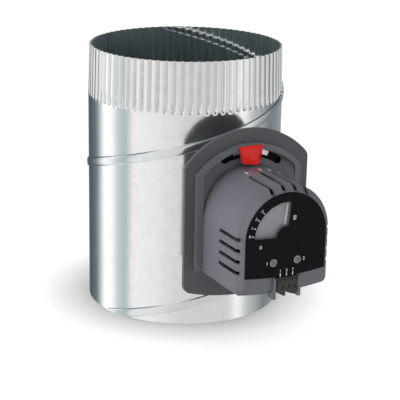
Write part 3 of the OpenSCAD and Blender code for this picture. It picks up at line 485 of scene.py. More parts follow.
class Finishes:
    """Every finish of the damper."""

    GALVANISED = Finish(
        "Galvanised sheet", "galvanised_sheet", Look.GALVANISED, (0.87, 0.87, 0.86), (0.78, 0.785, 0.785),
        roughness=0.16, spread=0.05, scale=190.0, relief=0.000004)
    # Painted shade: a darker, teal-tinted copy of the galvanised sheet for the duct's inner faces, where
    # shade falls
    INSIDE = Finish(
        "Galvanised inside painted shade", "galvanised_sheet", Look.METAL, (0.62, 0.70, 0.71), (0.52, 0.60, 0.61),
        roughness=0.30, spread=0.08, relief=0.000003, stretch=(500.0, 500.0, 10.0))
    # Painted shade: a darker, teal-tinted copy of the galvanised sheet for both bands of the seam
    SEAM = Finish(
        "Galvanised seam painted shade", "galvanised_sheet", Look.GALVANISED, (0.78, 0.80, 0.80), (0.70, 0.72, 0.725),
        roughness=0.18, spread=0.05, scale=240.0, relief=0.000004)
    ZINC = Finish(
        "Zinc plate", "zinc_plate", Look.METAL, (0.74, 0.75, 0.76), (0.66, 0.67, 0.69),
        roughness=0.30, spread=0.10, relief=0.00001)
    # Painted light: a paler copy of the zinc plate, so the lever shows bright inside its dark slot
    LEVER = Finish(
        "Zinc lever painted light", "zinc_plate", Look.METAL, (0.88, 0.89, 0.90), (0.82, 0.83, 0.84),
        roughness=0.44, spread=0.08, relief=0.00001)
    DULL_SCREW = Finish(
        "Dull screw", "fastener_steel", Look.METAL, (0.10, 0.10, 0.105), (0.07, 0.07, 0.075),
        roughness=0.40, spread=0.08, relief=0.00001, stretch=(700.0, 700.0, 700.0))
    SCREW = Finish(
        "Zinc screw", "fastener_steel", Look.METAL, (0.70, 0.71, 0.72), (0.58, 0.59, 0.61),
        roughness=0.28, spread=0.08, relief=0.00001, stretch=(700.0, 700.0, 700.0))
    HOUSING = Finish(
        "Housing plastic", "housing_plastic", Look.PLASTIC, (0.115, 0.118, 0.134), (0.098, 0.101, 0.116),
        roughness=0.40, spread=0.08, scale=1500.0, relief=0.00005)
    BASE = Finish(
        "Base plastic", "base_plastic", Look.PLASTIC, (0.070, 0.072, 0.080), (0.061, 0.063, 0.071),
        roughness=0.46, spread=0.08, scale=1500.0, relief=0.00005)
    # Painted shade: a near-black copy of the base plastic for the floor behind the lever's slot, where
    # shade falls
    PAN = Finish(
        "Base pan painted shade", "base_plastic", Look.PLASTIC, (0.006, 0.006, 0.007), (0.004, 0.004, 0.005),
        roughness=0.6, relief=0.00002, gloss=0.1)
    LABEL = Finish(
        "Label film", "label_film", Look.PLASTIC, (0.005, 0.005, 0.007), (0.007, 0.007, 0.009),
        roughness=0.40, spread=0.04, scale=800.0, relief=0.000004, gloss=0.05)
    DIAL = Finish(
        "Dial plastic", "dial_plastic", Look.PLASTIC, (0.20, 0.205, 0.215), (0.15, 0.155, 0.165),
        roughness=0.40, relief=0.00002)
    PRINT = Finish(
        "White print", "needle_plastic", Look.PLASTIC, (0.78, 0.79, 0.80), (0.70, 0.71, 0.72),
        roughness=0.45, relief=0.000005)
    GREY_PRINT = Finish(
        "Grey print", "needle_plastic", Look.PLASTIC, (0.36, 0.37, 0.38), (0.28, 0.29, 0.30),
        roughness=0.45, relief=0.000005)
    NEEDLE = Finish(
        "Needle plastic", "needle_plastic", Look.PLASTIC, (0.80, 0.81, 0.82), (0.74, 0.75, 0.76),
        roughness=0.35, relief=0.00001)
    CLEAR = Finish(
        "Clear plastic", "clear_plastic", Look.CLEAR, (0.80, 0.83, 0.86), (0.72, 0.75, 0.78),
        roughness=0.06, relief=0.00001, coat=0.3, alpha=0.12)
    LAMP = Finish(
        "Lamp plastic", "lamp_plastic", Look.PLASTIC, (0.13, 0.14, 0.15), (0.08, 0.09, 0.10),
        roughness=0.22, spread=0.05, relief=0.00001, coat=0.4)
    GEAR = Finish(
        "Gear plastic", "gear_plastic", Look.PLASTIC, (0.72, 0.69, 0.60), (0.66, 0.63, 0.54),
        roughness=0.35, relief=0.00001)
    BEARING = Finish(
        "Bearing plastic", "bearing_plastic", Look.PLASTIC, (0.62, 0.60, 0.53), (0.55, 0.53, 0.47),
        roughness=0.40, relief=0.00002)
    BOARD = Finish(
        "Board laminate", "board_laminate", Look.PLASTIC, (0.02, 0.10, 0.045), (0.015, 0.075, 0.035),
        roughness=0.30, spread=0.05, relief=0.00001, coat=0.4)
    TERMINAL = Finish(
        "Terminal plastic", "terminal_plastic", Look.PLASTIC, (0.040, 0.036, 0.036), (0.024, 0.021, 0.021),
        roughness=0.42, spread=0.08, scale=1600.0, relief=0.00003, gloss=0.3)
    BRASS = Finish(
        "Brass", "brass", Look.METAL, (0.72, 0.50, 0.20), (0.60, 0.40, 0.15),
        roughness=0.24, relief=0.00001)
    SPRING = Finish(
        "Spring strip", "spring_steel", Look.METAL, (0.24, 0.28, 0.34), (0.18, 0.21, 0.26),
        roughness=0.26, relief=0.00001)
    MOTOR = Finish(
        "Motor can", "motor_steel", Look.METAL, (0.58, 0.59, 0.60), (0.50, 0.51, 0.52),
        roughness=0.32, relief=0.00001)
    CLIP = Finish(
        "Black oxide", "clip_steel", Look.METAL, (0.07, 0.07, 0.08), (0.05, 0.05, 0.06),
        roughness=0.42, relief=0.00001)
    SEAL = Finish(
        "Seal rubber", "seal_rubber", Look.PLASTIC, (0.022, 0.022, 0.024), (0.016, 0.016, 0.018),
        roughness=0.72, spread=0.08, scale=1800.0, relief=0.00012)
    KNOB = Finish(
        "Knob plastic", "knob_plastic", Look.PLASTIC, (0.82, 0.018, 0.010), (0.62, 0.007, 0.008),
        roughness=0.20, spread=0.04, scale=700.0, relief=0.00001, gloss=0.30, coat=0.25)
    RED_PRINT = Finish(
        "Red print", "knob_plastic", Look.PLASTIC, (0.26, 0.035, 0.05), (0.20, 0.03, 0.04),
        roughness=0.4, relief=0.000005)


class Mesh:
    """Steps that every piece of the scene goes through."""

    @staticmethod
    def hold(name: str, data: bpy.types.ID) -> bpy.types.Object:
        """Adds an object to the scene.

        Args:
            name: the object's name.
            data: the mesh, text, lamp or camera that it holds.

        Returns:
            The object.
        """
        holder = bpy.data.objects.new(name, data)
        bpy.context.scene.collection.objects.link(holder)
        return holder

    @staticmethod
    def settle(holder: bpy.types.Object) -> bpy.types.Mesh:
        """Returns a mesh of what an object shows once its modifiers or its text are worked out."""
        bpy.context.view_layer.update()
        return bpy.data.meshes.new_from_object(holder.evaluated_get(bpy.context.evaluated_depsgraph_get()))

    @classmethod
    def show(cls, name: str, mesh: bmesh.types.BMesh, finish: Finish, body: Body,
             stands_for: Sequence[str] = (), sharp: float = 35.0) -> bpy.types.Object:
        """Turns a bmesh into a shown object.

        Args:
            name: the object's name.
            mesh: the geometry, freed here.
            finish: its finish.
            body: the CAD body that it rides on.
            stands_for: the CAD nodes that it replaces.
            sharp: the angle, in degrees, over which an edge is sharp.

        Returns:
            The new object.
        """
        data = bpy.data.meshes.new(name)
        mesh.to_mesh(data)
        mesh.free()
        data.polygons.foreach_set("use_smooth", [True] * len(data.polygons))
        data.set_sharp_from_angle(angle=math.radians(sharp))
        data.materials.append(finish.material())
        made = cls.hold(name, data)
        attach(made, body.value)
        if stands_for:
            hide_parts(*stands_for)
        LOG.info("piece %s: %s, %d faces", name, finish.name, len(data.polygons))
        return made

    @staticmethod
    def chain(mesh: bmesh.types.BMesh, points: Sequence[Point]) -> list[Element]:
        """Adds a closed chain of edges through these points, in metres.

        Args:
            mesh: the mesh that takes the chain.
            points: the corners, in order.

        Returns:
            The new vertices and edges.
        """
        verts = [mesh.verts.new(point) for point in points]
        edges = [mesh.edges.new((a, b)) for a, b in zip(verts, verts[1:] + verts[:1])]
        return verts + edges

    @staticmethod
    def verts(elements: Sequence[Element]) -> list[bmesh.types.BMVert]:
        """Returns the vertices among these elements."""
        return [element for element in elements if isinstance(element, bmesh.types.BMVert)]

    @classmethod
    def cut(cls, mesh: bmesh.types.BMesh, cutter: bmesh.types.BMesh) -> None:
        """Takes a closed cutter away from a closed mesh.

        Args:
            mesh: the mesh that is cut.
            cutter: the form that is taken away, freed here.
        """
        holders = []
        for name, form in (("cut_mesh", mesh), ("cutter", cutter)):
            data = bpy.data.meshes.new(name)
            form.to_mesh(data)
            holders.append(cls.hold(name, data))
        cutter.free()
        boolean = holders[0].modifiers.new("Holes", "BOOLEAN")
        boolean.object = holders[1]
        boolean.solver = "EXACT"
        result = cls.settle(holders[0])
        mesh.clear()
        mesh.from_mesh(result)
        bpy.data.meshes.remove(result)
        for holder in holders:
            data = holder.data
            bpy.data.objects.remove(holder)
            bpy.data.meshes.remove(data)


@dataclass
class SubAssembly:
    """Pieces that belong together.

    Attributes:
        frame: the loaded CAD frame.
    """

    frame: dict = field(repr=False)

    # Distance, in metres, under which a CAD mesh's points merge, and the angles, in degrees,
    # under which its faces join and over which its edges are sharp or rounded
    WELD = 1e-6
    FLAT = 0.6
    SHARP = 32.0
    ROUNDED = 38.0

    def soften(self, node: str, finish: Finish, width: float = 0.25, steps: Steps = Steps.SOFT,
               body: Body = Body.ROOT) -> bpy.types.Object:
        """Shows a CAD node as a merged copy with rounded edges.

        Args:
            node: the CAD node.
            finish: its finish.
            width: the radius of the rounding, in millimetres, or 0 for none.
            steps: steps in the rounding.
            body: the body that it rides on.

        Returns:
            The copy, which stands for the node.
        """
        mesh = bmesh.new()
        mesh.from_mesh(self.frame["nodes"][node].data)
        bmesh.ops.remove_doubles(mesh, verts=mesh.verts, dist=self.WELD)
        bmesh.ops.dissolve_limit(mesh, angle_limit=math.radians(self.FLAT), verts=mesh.verts,
                                 edges=mesh.edges, use_dissolve_boundaries=False)
        bmesh.ops.recalc_face_normals(mesh, faces=mesh.faces)
        made = Mesh.show(f"{node}_shown", mesh, finish, body, [node], self.SHARP)
        if width:
            bevel = made.modifiers.new("Rounded edges", "BEVEL")
            bevel.width = width * MM
            bevel.segments = steps.value
            bevel.limit_method = "ANGLE"
            bevel.angle_limit = math.radians(self.ROUNDED)
            bevel.use_clamp_overlap = True
            bevel.miter_outer = "MITER_ARC"
            weighted = made.modifiers.new("Face normals", "WEIGHTED_NORMAL")
            weighted.keep_sharp = True
            weighted.weight = 50
        return made


@dataclass
class SpiralDuct:
    """The duct: a crimped wall and its folded seam, seen outside and inside. Lengths in millimetres.

    Attributes:
        wall: thickness of the sheet.
        plain_rows: heights of the wall's rings under the crimps.
        rim_edge: height of the last ring under the crimped rim.
        crimp_z: height at which the crimps start.
        crimps: number of crimps.
        crimp_depth: depth of each crimp.
        crimp_drop: how much the crests draw in towards the end.
        crimp_lead: how far the valleys start under the crimps.
        crimp_run: length over which a crimp runs out.
        crimp_steps: facets round each crimp.
        run_rows: rings over which a crimp runs out.
        upper_rows: rings over the rest of the crimps.
        valley_at: middle of a valley, as a share of its crimp.
        valley_share: width of a valley, as a share of its crimp.
        seam_pitch: rise of the seam in one turn.
        seam_front_z: height at which the seam crosses the front.
        seam_w: width of the seam.
        seam_proud: how far the seam stands out.
        seam_flat: how far it stands in, on the inside.
        seam_sunk: how far its outer and its inner band reach into the wall.
        seam_end: how far its bands keep under the rim and over the plain end.
        seam_steps: facets along the seam.
        mound: height of the mounds that the crimps leave on the seam's inside.
        bearing_hole: radius of the holes for the bearings.
        rivet_hole: radius of the holes for the bracket's rivets.
        rivet_turn: angle of the rivets from the front, in degrees.
        rivet_rise: height of the rivets over and under the shaft.
        hole_steps: facets round a hole.
    """

    wall: float = 0.6
    plain_rows: tuple[float, ...] = (0.0, 0.25, 2.0, 40.0, 80.0, 120.0, 150.0, 160.0, 164.0)
    rim_edge: float = 0.2
    crimp_z: float = 166.5
    crimps: int = 77
    crimp_depth: float = 2.0
    crimp_drop: float = 1.1
    crimp_lead: float = 1.0
    crimp_run: float = 4.5
    crimp_steps: int = 10
    run_rows: int = 8
    upper_rows: int = 7
    valley_at: float = 0.72
    valley_share: float = 0.56
    seam_pitch: float = 124.0
    seam_front_z: float = 148.2
    seam_w: float = 7.6
    seam_proud: float = 1.29
    seam_flat: float = 0.3
    seam_sunk: Flat = (0.3, 0.2)
    seam_end: float = 0.1
    seam_steps: int = 1290
    mound: float = 1.6
    bearing_hole: float = 6.9
    rivet_hole: float = 2.05
    rivet_turn: float = 23.267
    rivet_rise: float = 24.0
    hole_steps: int = 48

    # Powers that shape a valley across and where it runs out
    VALLEY_POWER = 1.6
    DIMPLE_POWER = 0.8

    # A hair of turn, in crimps, that keeps the first row of points off the border of two crimps
    NUDGE = 1e-4

    # Angles, in degrees, over which edges of the wall and of the seam are sharp
    WALL_SHARP = 50.0
    SEAM_SHARP = 60.0

    # One edge of the seam's folded section, in shares of its half width and of its height
    SEAM_EDGE_SHARES = ((1.0, 0.0), (0.93, 0.5), (0.82, 0.72), (0.62, 0.86), (0.3, 0.97))

    def build(self) -> None:
        """Makes the wall and the seam bands."""
        self._wall()
        self._band("duct_seam_outside", self.seam_proud, outside=True)
        self._band("duct_seam_inside", self.seam_flat, outside=False)

    def _crest(self, z: float) -> float:
        """Radius of the crimps' crests at a height."""
        share = max(0.0, z - self.crimp_z) / (PLACES.length - self.crimp_z)
        return PLACES.duct_r - self.crimp_drop * share

    def _valley(self, z: float) -> float:
        """Depth of the valleys at a height, which run out in rounded dimples."""
        share = min(1.0, max(0.0, (z - self.crimp_z + self.crimp_lead) / self.crimp_run))
        return self.crimp_depth * math.sin(share * math.pi / 2) ** self.DIMPLE_POWER

    def _turn(self, x: float, y: float) -> float:
        """Direction of a point from the axis, in whole crimps."""
        return math.atan2(y, x) / (2 * math.pi) * self.crimps

    def _radius(self, turn: float, z: float) -> float:
        """Works out how far the crimped wall stands from the axis.

        Args:
            turn: a direction from the axis, in whole crimps.
            z: a height, in millimetres.

        Returns:
            The outer radius there, in millimetres.
        """
        across = abs((turn + self.NUDGE) % 1.0 - self.valley_at)
        if across > self.valley_share / 2:
            return self._crest(z)
        depth = self._valley(z) * math.cos(math.pi * across / self.valley_share) ** self.VALLEY_POWER
        return self._crest(z) - depth

    def _rows(self) -> list[float]:
        """Works out the heights of the wall's rings, closest where the crimps run out.

        Returns:
            The heights, in millimetres.
        """
        foot = self.crimp_z - self.crimp_lead
        crimped = [foot + self.crimp_run * k / self.run_rows for k in range(self.run_rows + 1)]
        top = crimped[-1]
        rise = PLACES.length - self.rim_edge - top
        upper = [top + rise * k / self.upper_rows for k in range(1, self.upper_rows + 1)]
        return [*self.plain_rows, *crimped, *upper, PLACES.length]

    def _pierce(self, mesh: bmesh.types.BMesh) -> None:
        """Cuts the holes for the bearings and the bracket's rivets.

        Args:
            mesh: the closed wall or band that is cut.
        """
        cutter = bmesh.new()
        holes = [(turn, 0.0, self.bearing_hole) for turn in (0.0, 180.0)]
        holes += [(turn, rise, self.rivet_hole) for turn in (-self.rivet_turn, self.rivet_turn)
                  for rise in (-self.rivet_rise, self.rivet_rise)]
        for turn, rise, radius in holes:
            stand = (Matrix.Rotation(math.radians(turn), 4, "Z")
                     @ Matrix.Translation((0.0, -PLACES.duct_r * MM, (PLACES.shaft_z + rise) * MM))
                     @ Matrix.Rotation(math.pi / 2, 4, "X"))
            bmesh.ops.create_cone(cutter, cap_ends=True, segments=self.hole_steps, radius1=radius * MM,
                                  radius2=radius * MM, depth=2 * radius * MM, matrix=stand)
        Mesh.cut(mesh, cutter)

    def _wall(self) -> None:
        """Spins the wall's section and presses the crimps into it."""
        mesh = bmesh.new()
        rows = self._rows()
        outer = [(PLACES.duct_r * MM, 0.0, z * MM) for z in rows]
        inner = [((PLACES.duct_r - self.wall) * MM, 0.0, z * MM) for z in reversed(rows)]
        section = Mesh.chain(mesh, outer + inner)
        bmesh.ops.spin(mesh, geom=section, cent=(0, 0, 0), axis=(0, 0, 1), dvec=(0, 0, 0),
                       angle=2 * math.pi, steps=self.crimps * self.crimp_steps, use_merge=True)
        for vert in mesh.verts:
            x, y, z = vert.co
            press = (self._radius(self._turn(x, y), z / MM) - PLACES.duct_r) * MM
            share = 1.0 + press / math.hypot(x, y)
            vert.co = (x * share, y * share, z)
        bmesh.ops.recalc_face_normals(mesh, faces=mesh.faces)
        self._pierce(mesh)
        # Faces that look inward take the painted shade of the inside
        for face in mesh.faces:
            middle = face.calc_center_median()
            face.material_index = int(face.normal.x * middle.x + face.normal.y * middle.y < 0)
        wall = Mesh.show("duct_wall", mesh, Finishes.GALVANISED, Body.ROOT, ["duct_shell"], self.WALL_SHARP)
        wall.data.materials.append(Finishes.INSIDE.material())

    def _helix(self, foot: float, lift: float) -> bmesh.types.BMesh:
        """Sweeps the seam's section from under the plain end to over the rim.

        Args:
            foot: radius of the section's foot.
            lift: height of the section, less than 0 inwards.

        Returns:
            The closed band.
        """
        half = self.seam_w / 2
        start = -2 * math.pi * (self.seam_front_z + half / 2) / self.seam_pitch
        end = 2 * math.pi * (PLACES.length - self.seam_front_z + half / 2) / self.seam_pitch
        near = [(-across, rise) for across, rise in self.SEAM_EDGE_SHARES]
        mesh = bmesh.new()
        points = []
        for across, rise in [*near, (0.0, 1.0), *reversed(self.SEAM_EDGE_SHARES)]:
            r = foot + lift * rise
            z = self.seam_front_z + self.seam_pitch * start / (2 * math.pi) + across * half
            points.append((r * math.sin(start) * MM, -r * math.cos(start) * MM, z * MM))
        section = Mesh.chain(mesh, points)
        mesh.faces.new(Mesh.verts(section))
        climb = self.seam_pitch * (end - start) / (2 * math.pi) / self.seam_steps
        swept = bmesh.ops.spin(mesh, geom=section, cent=(0, 0, 0), axis=(0, 0, 1), dvec=(0, 0, climb * MM),
                               angle=end - start, steps=self.seam_steps)["geom_last"]
        edges = [edge for edge in swept if isinstance(edge, bmesh.types.BMEdge)]
        bmesh.ops.contextual_create(mesh, geom=Mesh.verts(swept) + edges)
        return mesh

    def _band(self, name: str, proud: float, outside: bool) -> None:
        """Shows one band of the seam, pressed to the crimps and kept between the duct's ends.

        Args:
            name: the piece's name.
            proud: how far the band stands off the wall.
            outside: whether it is the outer band.
        """
        sunk = self.seam_sunk[0 if outside else 1]
        foot = PLACES.duct_r - sunk if outside else PLACES.duct_r - self.wall + sunk
        lift = proud + sunk
        mesh = self._helix(foot, lift if outside else -lift)
        for vert in mesh.verts:
            x, y, z = vert.co
            reach = math.hypot(x, y)
            height = min(PLACES.length - self.seam_end, max(self.seam_end, z / MM))
            turn = self._turn(x, y)
            press = self._radius(turn, height) - PLACES.duct_r
            if not outside and height > self.crimp_z:
                press -= self.mound * (foot - reach / MM) / lift * abs(math.sin(math.pi * turn))
            share = 1.0 + press * MM / reach
            vert.co = (x * share, y * share, height * MM)
        bmesh.ops.remove_doubles(mesh, verts=mesh.verts, dist=MERGE)
        bmesh.ops.recalc_face_normals(mesh, faces=mesh.faces)
        self._pierce(mesh)
        # Both bands take the seam's painted shade
        Mesh.show(name, mesh, Finishes.SEAM, Body.ROOT, sharp=self.SEAM_SHARP)


@dataclass
class Mounting(SubAssembly):
    """Bracket, bearings and base plate between the duct and the actuator. Lengths in millimetres.

    Attributes:
        bracket_edge: rounding of the bracket.
        rivet_edge: rounding of the rivets.
        bearing_edge: rounding of the bearings and screws.
        plate_edge: rounding of the base plate.
        floor_d: depth of the floor inside the base plate, behind the lever, which takes the painted shade.
        floor_slack: how far a face of that floor may lie off its depth.
    """

    bracket_edge: float = 0.3
    rivet_edge: float = 0.5
    bearing_edge: float = 0.3
    plate_edge: float = 0.9
    floor_d: float = 98.3
    floor_slack: float = 0.2

    # A face looks to the front when its normal's Y is under this
    FRONT = -0.9

    def build(self) -> None:
        """Dresses the pieces that hold the actuator off the duct."""
        self.soften("standoff_bracket", Finishes.ZINC, self.bracket_edge)
        self.soften("bracket_rivets", Finishes.SCREW, self.rivet_edge, Steps.ROUND)
        self.soften("front_bearing", Finishes.BEARING, self.bearing_edge)
        self.soften("rear_bearing", Finishes.BEARING, self.bearing_edge)
        self._plate()
        self.soften("plate_screws", Finishes.SCREW, self.bearing_edge)

    def _plate(self) -> None:
        """Dresses the base plate, with painted shade: a near-black floor behind the lever's slot, where
        shade falls.
        """
        plate = self.soften("base_plate", Finishes.BASE, self.plate_edge, Steps.ROUND).data
        plate.materials.append(Finishes.PAN.material())
        # The faces of the floor behind the lever's slot take the painted shade
        for face in plate.polygons:
            off = abs(face.center.y / MM + self.floor_d)
            face.material_index = int(face.normal.y < self.FRONT and off < self.floor_slack)


@dataclass
class Cover(SubAssembly):
    """Actuator cover with its label, dial window and lamps. Roundings in millimetres.

    Attributes:
        cover_edge: rounding of the cover.
        screw_edge: rounding of the cover's screws.
        label_edge: rounding of the label.
        dial_edge: rounding of the dial.
        lamp_edge: rounding of the lamps.
    """

    cover_edge: float = 0.35
    screw_edge: float = 0.3
    label_edge: float = 0.08
    dial_edge: float = 0.1
    lamp_edge: float = 0.3

    def build(self) -> None:
        """Dresses the cover and what it carries."""
        self.soften("cover", Finishes.HOUSING, self.cover_edge)
        self.soften("cover_screws", Finishes.SCREW, self.screw_edge)
        self.soften("face_label", Finishes.LABEL, self.label_edge, Steps.FINE)
        self.soften("dial_plate", Finishes.DIAL, self.dial_edge)
        self.soften("window_lens", Finishes.CLEAR, 0.0)
        for lamp in ("open_lamp", "closed_lamp"):
            self.soften(lamp, Finishes.LAMP, self.lamp_edge, Steps.ROUND)


@dataclass
class Electrics(SubAssembly):
    """Circuit board, terminals and the plug. Roundings in millimetres.

    Attributes:
        board_edge: rounding of the board and the pins.
        block_edge: rounding of the header and the screws.
        plug_edge: rounding of the plug.
    """

    board_edge: float = 0.1
    block_edge: float = 0.15
    plug_edge: float = 0.25

    def build(self) -> None:
        """Dresses the electrical pieces."""
        self.soften("circuit_board", Finishes.BOARD, self.board_edge)
        self.soften("board_screws", Finishes.SCREW, self.block_edge)
        self.soften("terminal_header", Finishes.TERMINAL, self.block_edge)
        self.soften("header_pins", Finishes.BRASS, self.board_edge)
        self.soften("terminal_plug", Finishes.TERMINAL, self.plug_edge, body=Body.PLUG)
        self.soften("plug_screws", Finishes.DULL_SCREW, self.block_edge, body=Body.PLUG)


@dataclass
class Drive(SubAssembly):
    """Motor, gear train and spring. Roundings in millimetres.

    Attributes:
        frame_edge: rounding of the frame, its screws, the axle and the needle.
        motor_edge: rounding of the motor.
        tooth_edge: rounding of the gears' teeth.
        tube_edge: rounding of the needle's tube.
    """

    frame_edge: float = 0.15
    motor_edge: float = 0.4
    tooth_edge: float = 0.08
    tube_edge: float = 0.3

    def build(self) -> None:
        """Dresses the drive."""
        self.soften("gear_frame", Finishes.ZINC, self.frame_edge)
        self.soften("gear_motor", Finishes.MOTOR, self.motor_edge, Steps.ROUND)
        self.soften("motor_screws", Finishes.SCREW, self.frame_edge)
        self.soften("idler_axle", Finishes.SCREW, self.frame_edge)
        self.soften("return_spring", Finishes.SPRING, 0.0)
        self.soften("output_gear", Finishes.GEAR, self.tooth_edge, Steps.FINE, Body.BLADE)
        self.soften("gear_clamp_screw", Finishes.CLIP, self.tooth_edge, Steps.SOFT, Body.BLADE)
        self.soften("indicator_tube", Finishes.GEAR, self.tube_edge, Steps.SOFT, Body.BLADE)
        self.soften("indicator_needle", Finishes.NEEDLE, self.frame_edge, Steps.SOFT, Body.BLADE)
        self.soften("idler_gear", Finishes.GEAR, self.tooth_edge, Steps.FINE, Body.IDLER)
        self.soften("motor_pinion", Finishes.BRASS, self.tooth_edge, Steps.FINE, Body.PINION)


@dataclass
class BladeSet(SubAssembly):
    """Shaft and blade. Roundings in millimetres.

    Attributes:
        shaft_edge: rounding of the shaft and the rivets.
        disc_edge: rounding of the discs and the clip.
        seal_edge: rounding of the seal and the bolts.
        nut_edge: rounding of the nuts.
    """

    shaft_edge: float = 0.4
    disc_edge: float = 0.12
    seal_edge: float = 0.3
    nut_edge: float = 0.2

    def build(self) -> None:
        """Dresses the turning pieces inside the duct."""
        self.soften("damper_shaft", Finishes.ZINC, self.shaft_edge, Steps.ROUND, Body.BLADE)
        self.soften("shaft_clip", Finishes.CLIP, self.disc_edge, Steps.SOFT, Body.BLADE)
        self.soften("blade_disc_upper", Finishes.GALVANISED, self.disc_edge, Steps.SOFT, Body.BLADE)
        self.soften("blade_disc_lower", Finishes.GALVANISED, self.disc_edge, Steps.SOFT, Body.BLADE)
        self.soften("blade_seal", Finishes.SEAL, self.seal_edge, Steps.SOFT, Body.BLADE)
        self.soften("blade_rivets", Finishes.SCREW, self.shaft_edge, Steps.ROUND, Body.BLADE)
        self.soften("blade_bolts", Finishes.SCREW, self.seal_edge, Steps.SOFT, Body.BLADE)
        self.soften("blade_nuts", Finishes.SCREW, self.nut_edge, Steps.SOFT, Body.BLADE)


@dataclass
class StopLever(SubAssembly):
    """Stop lever and its knob. Roundings in millimetres.

    Attributes:
        lever_edge: rounding of the lever.
        knob_edge: rounding of the knob.
    """

    lever_edge: float = 0.15
    knob_edge: float = 0.6

    def build(self) -> None:
        """Dresses the lever."""
        # The lever takes the zinc's painted light
        self.soften("stop_lever", Finishes.LEVER, self.lever_edge, Steps.SOFT, Body.LEVER)
        self.soften("lever_knob", Finishes.KNOB, self.knob_edge, Steps.ROUND, Body.LEVER)


@dataclass
class Print:
    """Flat marks on the face, which looks along -Y. Places are x and height over the shaft, in millimetres.

    Attributes:
        name: the name of the piece that the marks make.
        finish: its finish.
        mesh: the marks so far.
    """

    name: str
    finish: Finish
    mesh: bmesh.types.BMesh = field(default_factory=bmesh.new, repr=False)

    # Thickness of the marks, type size of a digit for each unit of its height, facets of a ring and
    # of a digit's curves, and the angle, in degrees, over which an edge is sharp
    THICK = 0.1
    TYPE_SIZE = 1.38
    RING_STEPS = 48
    CURVE_STEPS = 4
    SHARP = 30.0

    @classmethod
    def _stand(cls, place: Sequence[float], turn: float) -> Matrix:
        """Matrix that stands a flat form, drawn in XY and in metres, on the face."""
        to_face = Matrix.Translation((place[0] * MM, -PLACES.face_d * MM, (PLACES.shaft_z + place[1]) * MM))
        return to_face @ Matrix.Rotation(math.pi / 2, 4, "X") @ Matrix.Rotation(turn, 4, "Z")

    def bar(self, start: Flat, end: Flat, width: float) -> None:
        """Adds a straight bar.

        Args:
            start: the place of one end.
            end: the place of the other end.
            width: its width.
        """
        along = Vector(end) - Vector(start)
        middle = (Vector(end) + Vector(start)) / 2
        form = Matrix.Diagonal((along.length * MM, width * MM, self.THICK * MM, 1.0))
        stand = self._stand(middle, math.atan2(along.y, along.x))
        bmesh.ops.create_cube(self.mesh, size=1.0, matrix=stand @ form)

    def ring(self, middle: Flat, radius: float, width: float) -> None:
        """Adds a ring.

        Args:
            middle: the place of its middle.
            radius: its radius, to the middle of its line.
            width: the width of its line.
        """
        half, low = width / 2, self.THICK / 2
        corners = [(radius - half, -low), (radius + half, -low), (radius + half, low), (radius - half, low)]
        section = Mesh.chain(self.mesh, [(r * MM, 0.0, z * MM) for r, z in corners])
        stand = self._stand(middle, 0.0)
        bmesh.ops.transform(self.mesh, matrix=stand, verts=Mesh.verts(section))
        bmesh.ops.spin(self.mesh, geom=section, cent=stand.to_translation(), axis=(0, 1, 0), dvec=(0, 0, 0),
                       angle=2 * math.pi, steps=self.RING_STEPS, use_merge=True)

    def number(self, text: str, middle: Flat, height: float, turn: float = 0.0) -> None:
        """Adds a plain number.

        Args:
            text: its digits.
            middle: the place of its middle.
            height: its height, in millimetres.
            turn: its turn from upright, in degrees.
        """
        curve = bpy.data.curves.new("number", "FONT")
        curve.body = text
        curve.size = height * self.TYPE_SIZE * MM
        curve.align_x = "CENTER"
        curve.align_y = "CENTER"
        curve.extrude = self.THICK / 2 * MM
        curve.resolution_u = self.CURVE_STEPS
        holder = Mesh.hold("number", curve)
        flat = Mesh.settle(holder)
        flat.transform(self._stand(middle, math.radians(turn)))
        self.mesh.from_mesh(flat)
        bpy.data.objects.remove(holder)
        bpy.data.curves.remove(curve)
        bpy.data.meshes.remove(flat)

    def build(self) -> None:
        """Makes the marks one object."""
        bmesh.ops.remove_doubles(self.mesh, verts=self.mesh.verts, dist=MERGE)
        bmesh.ops.recalc_face_normals(self.mesh, faces=self.mesh.faces)
        Mesh.show(self.name, self.mesh, self.finish, Body.ROOT, sharp=self.SHARP)


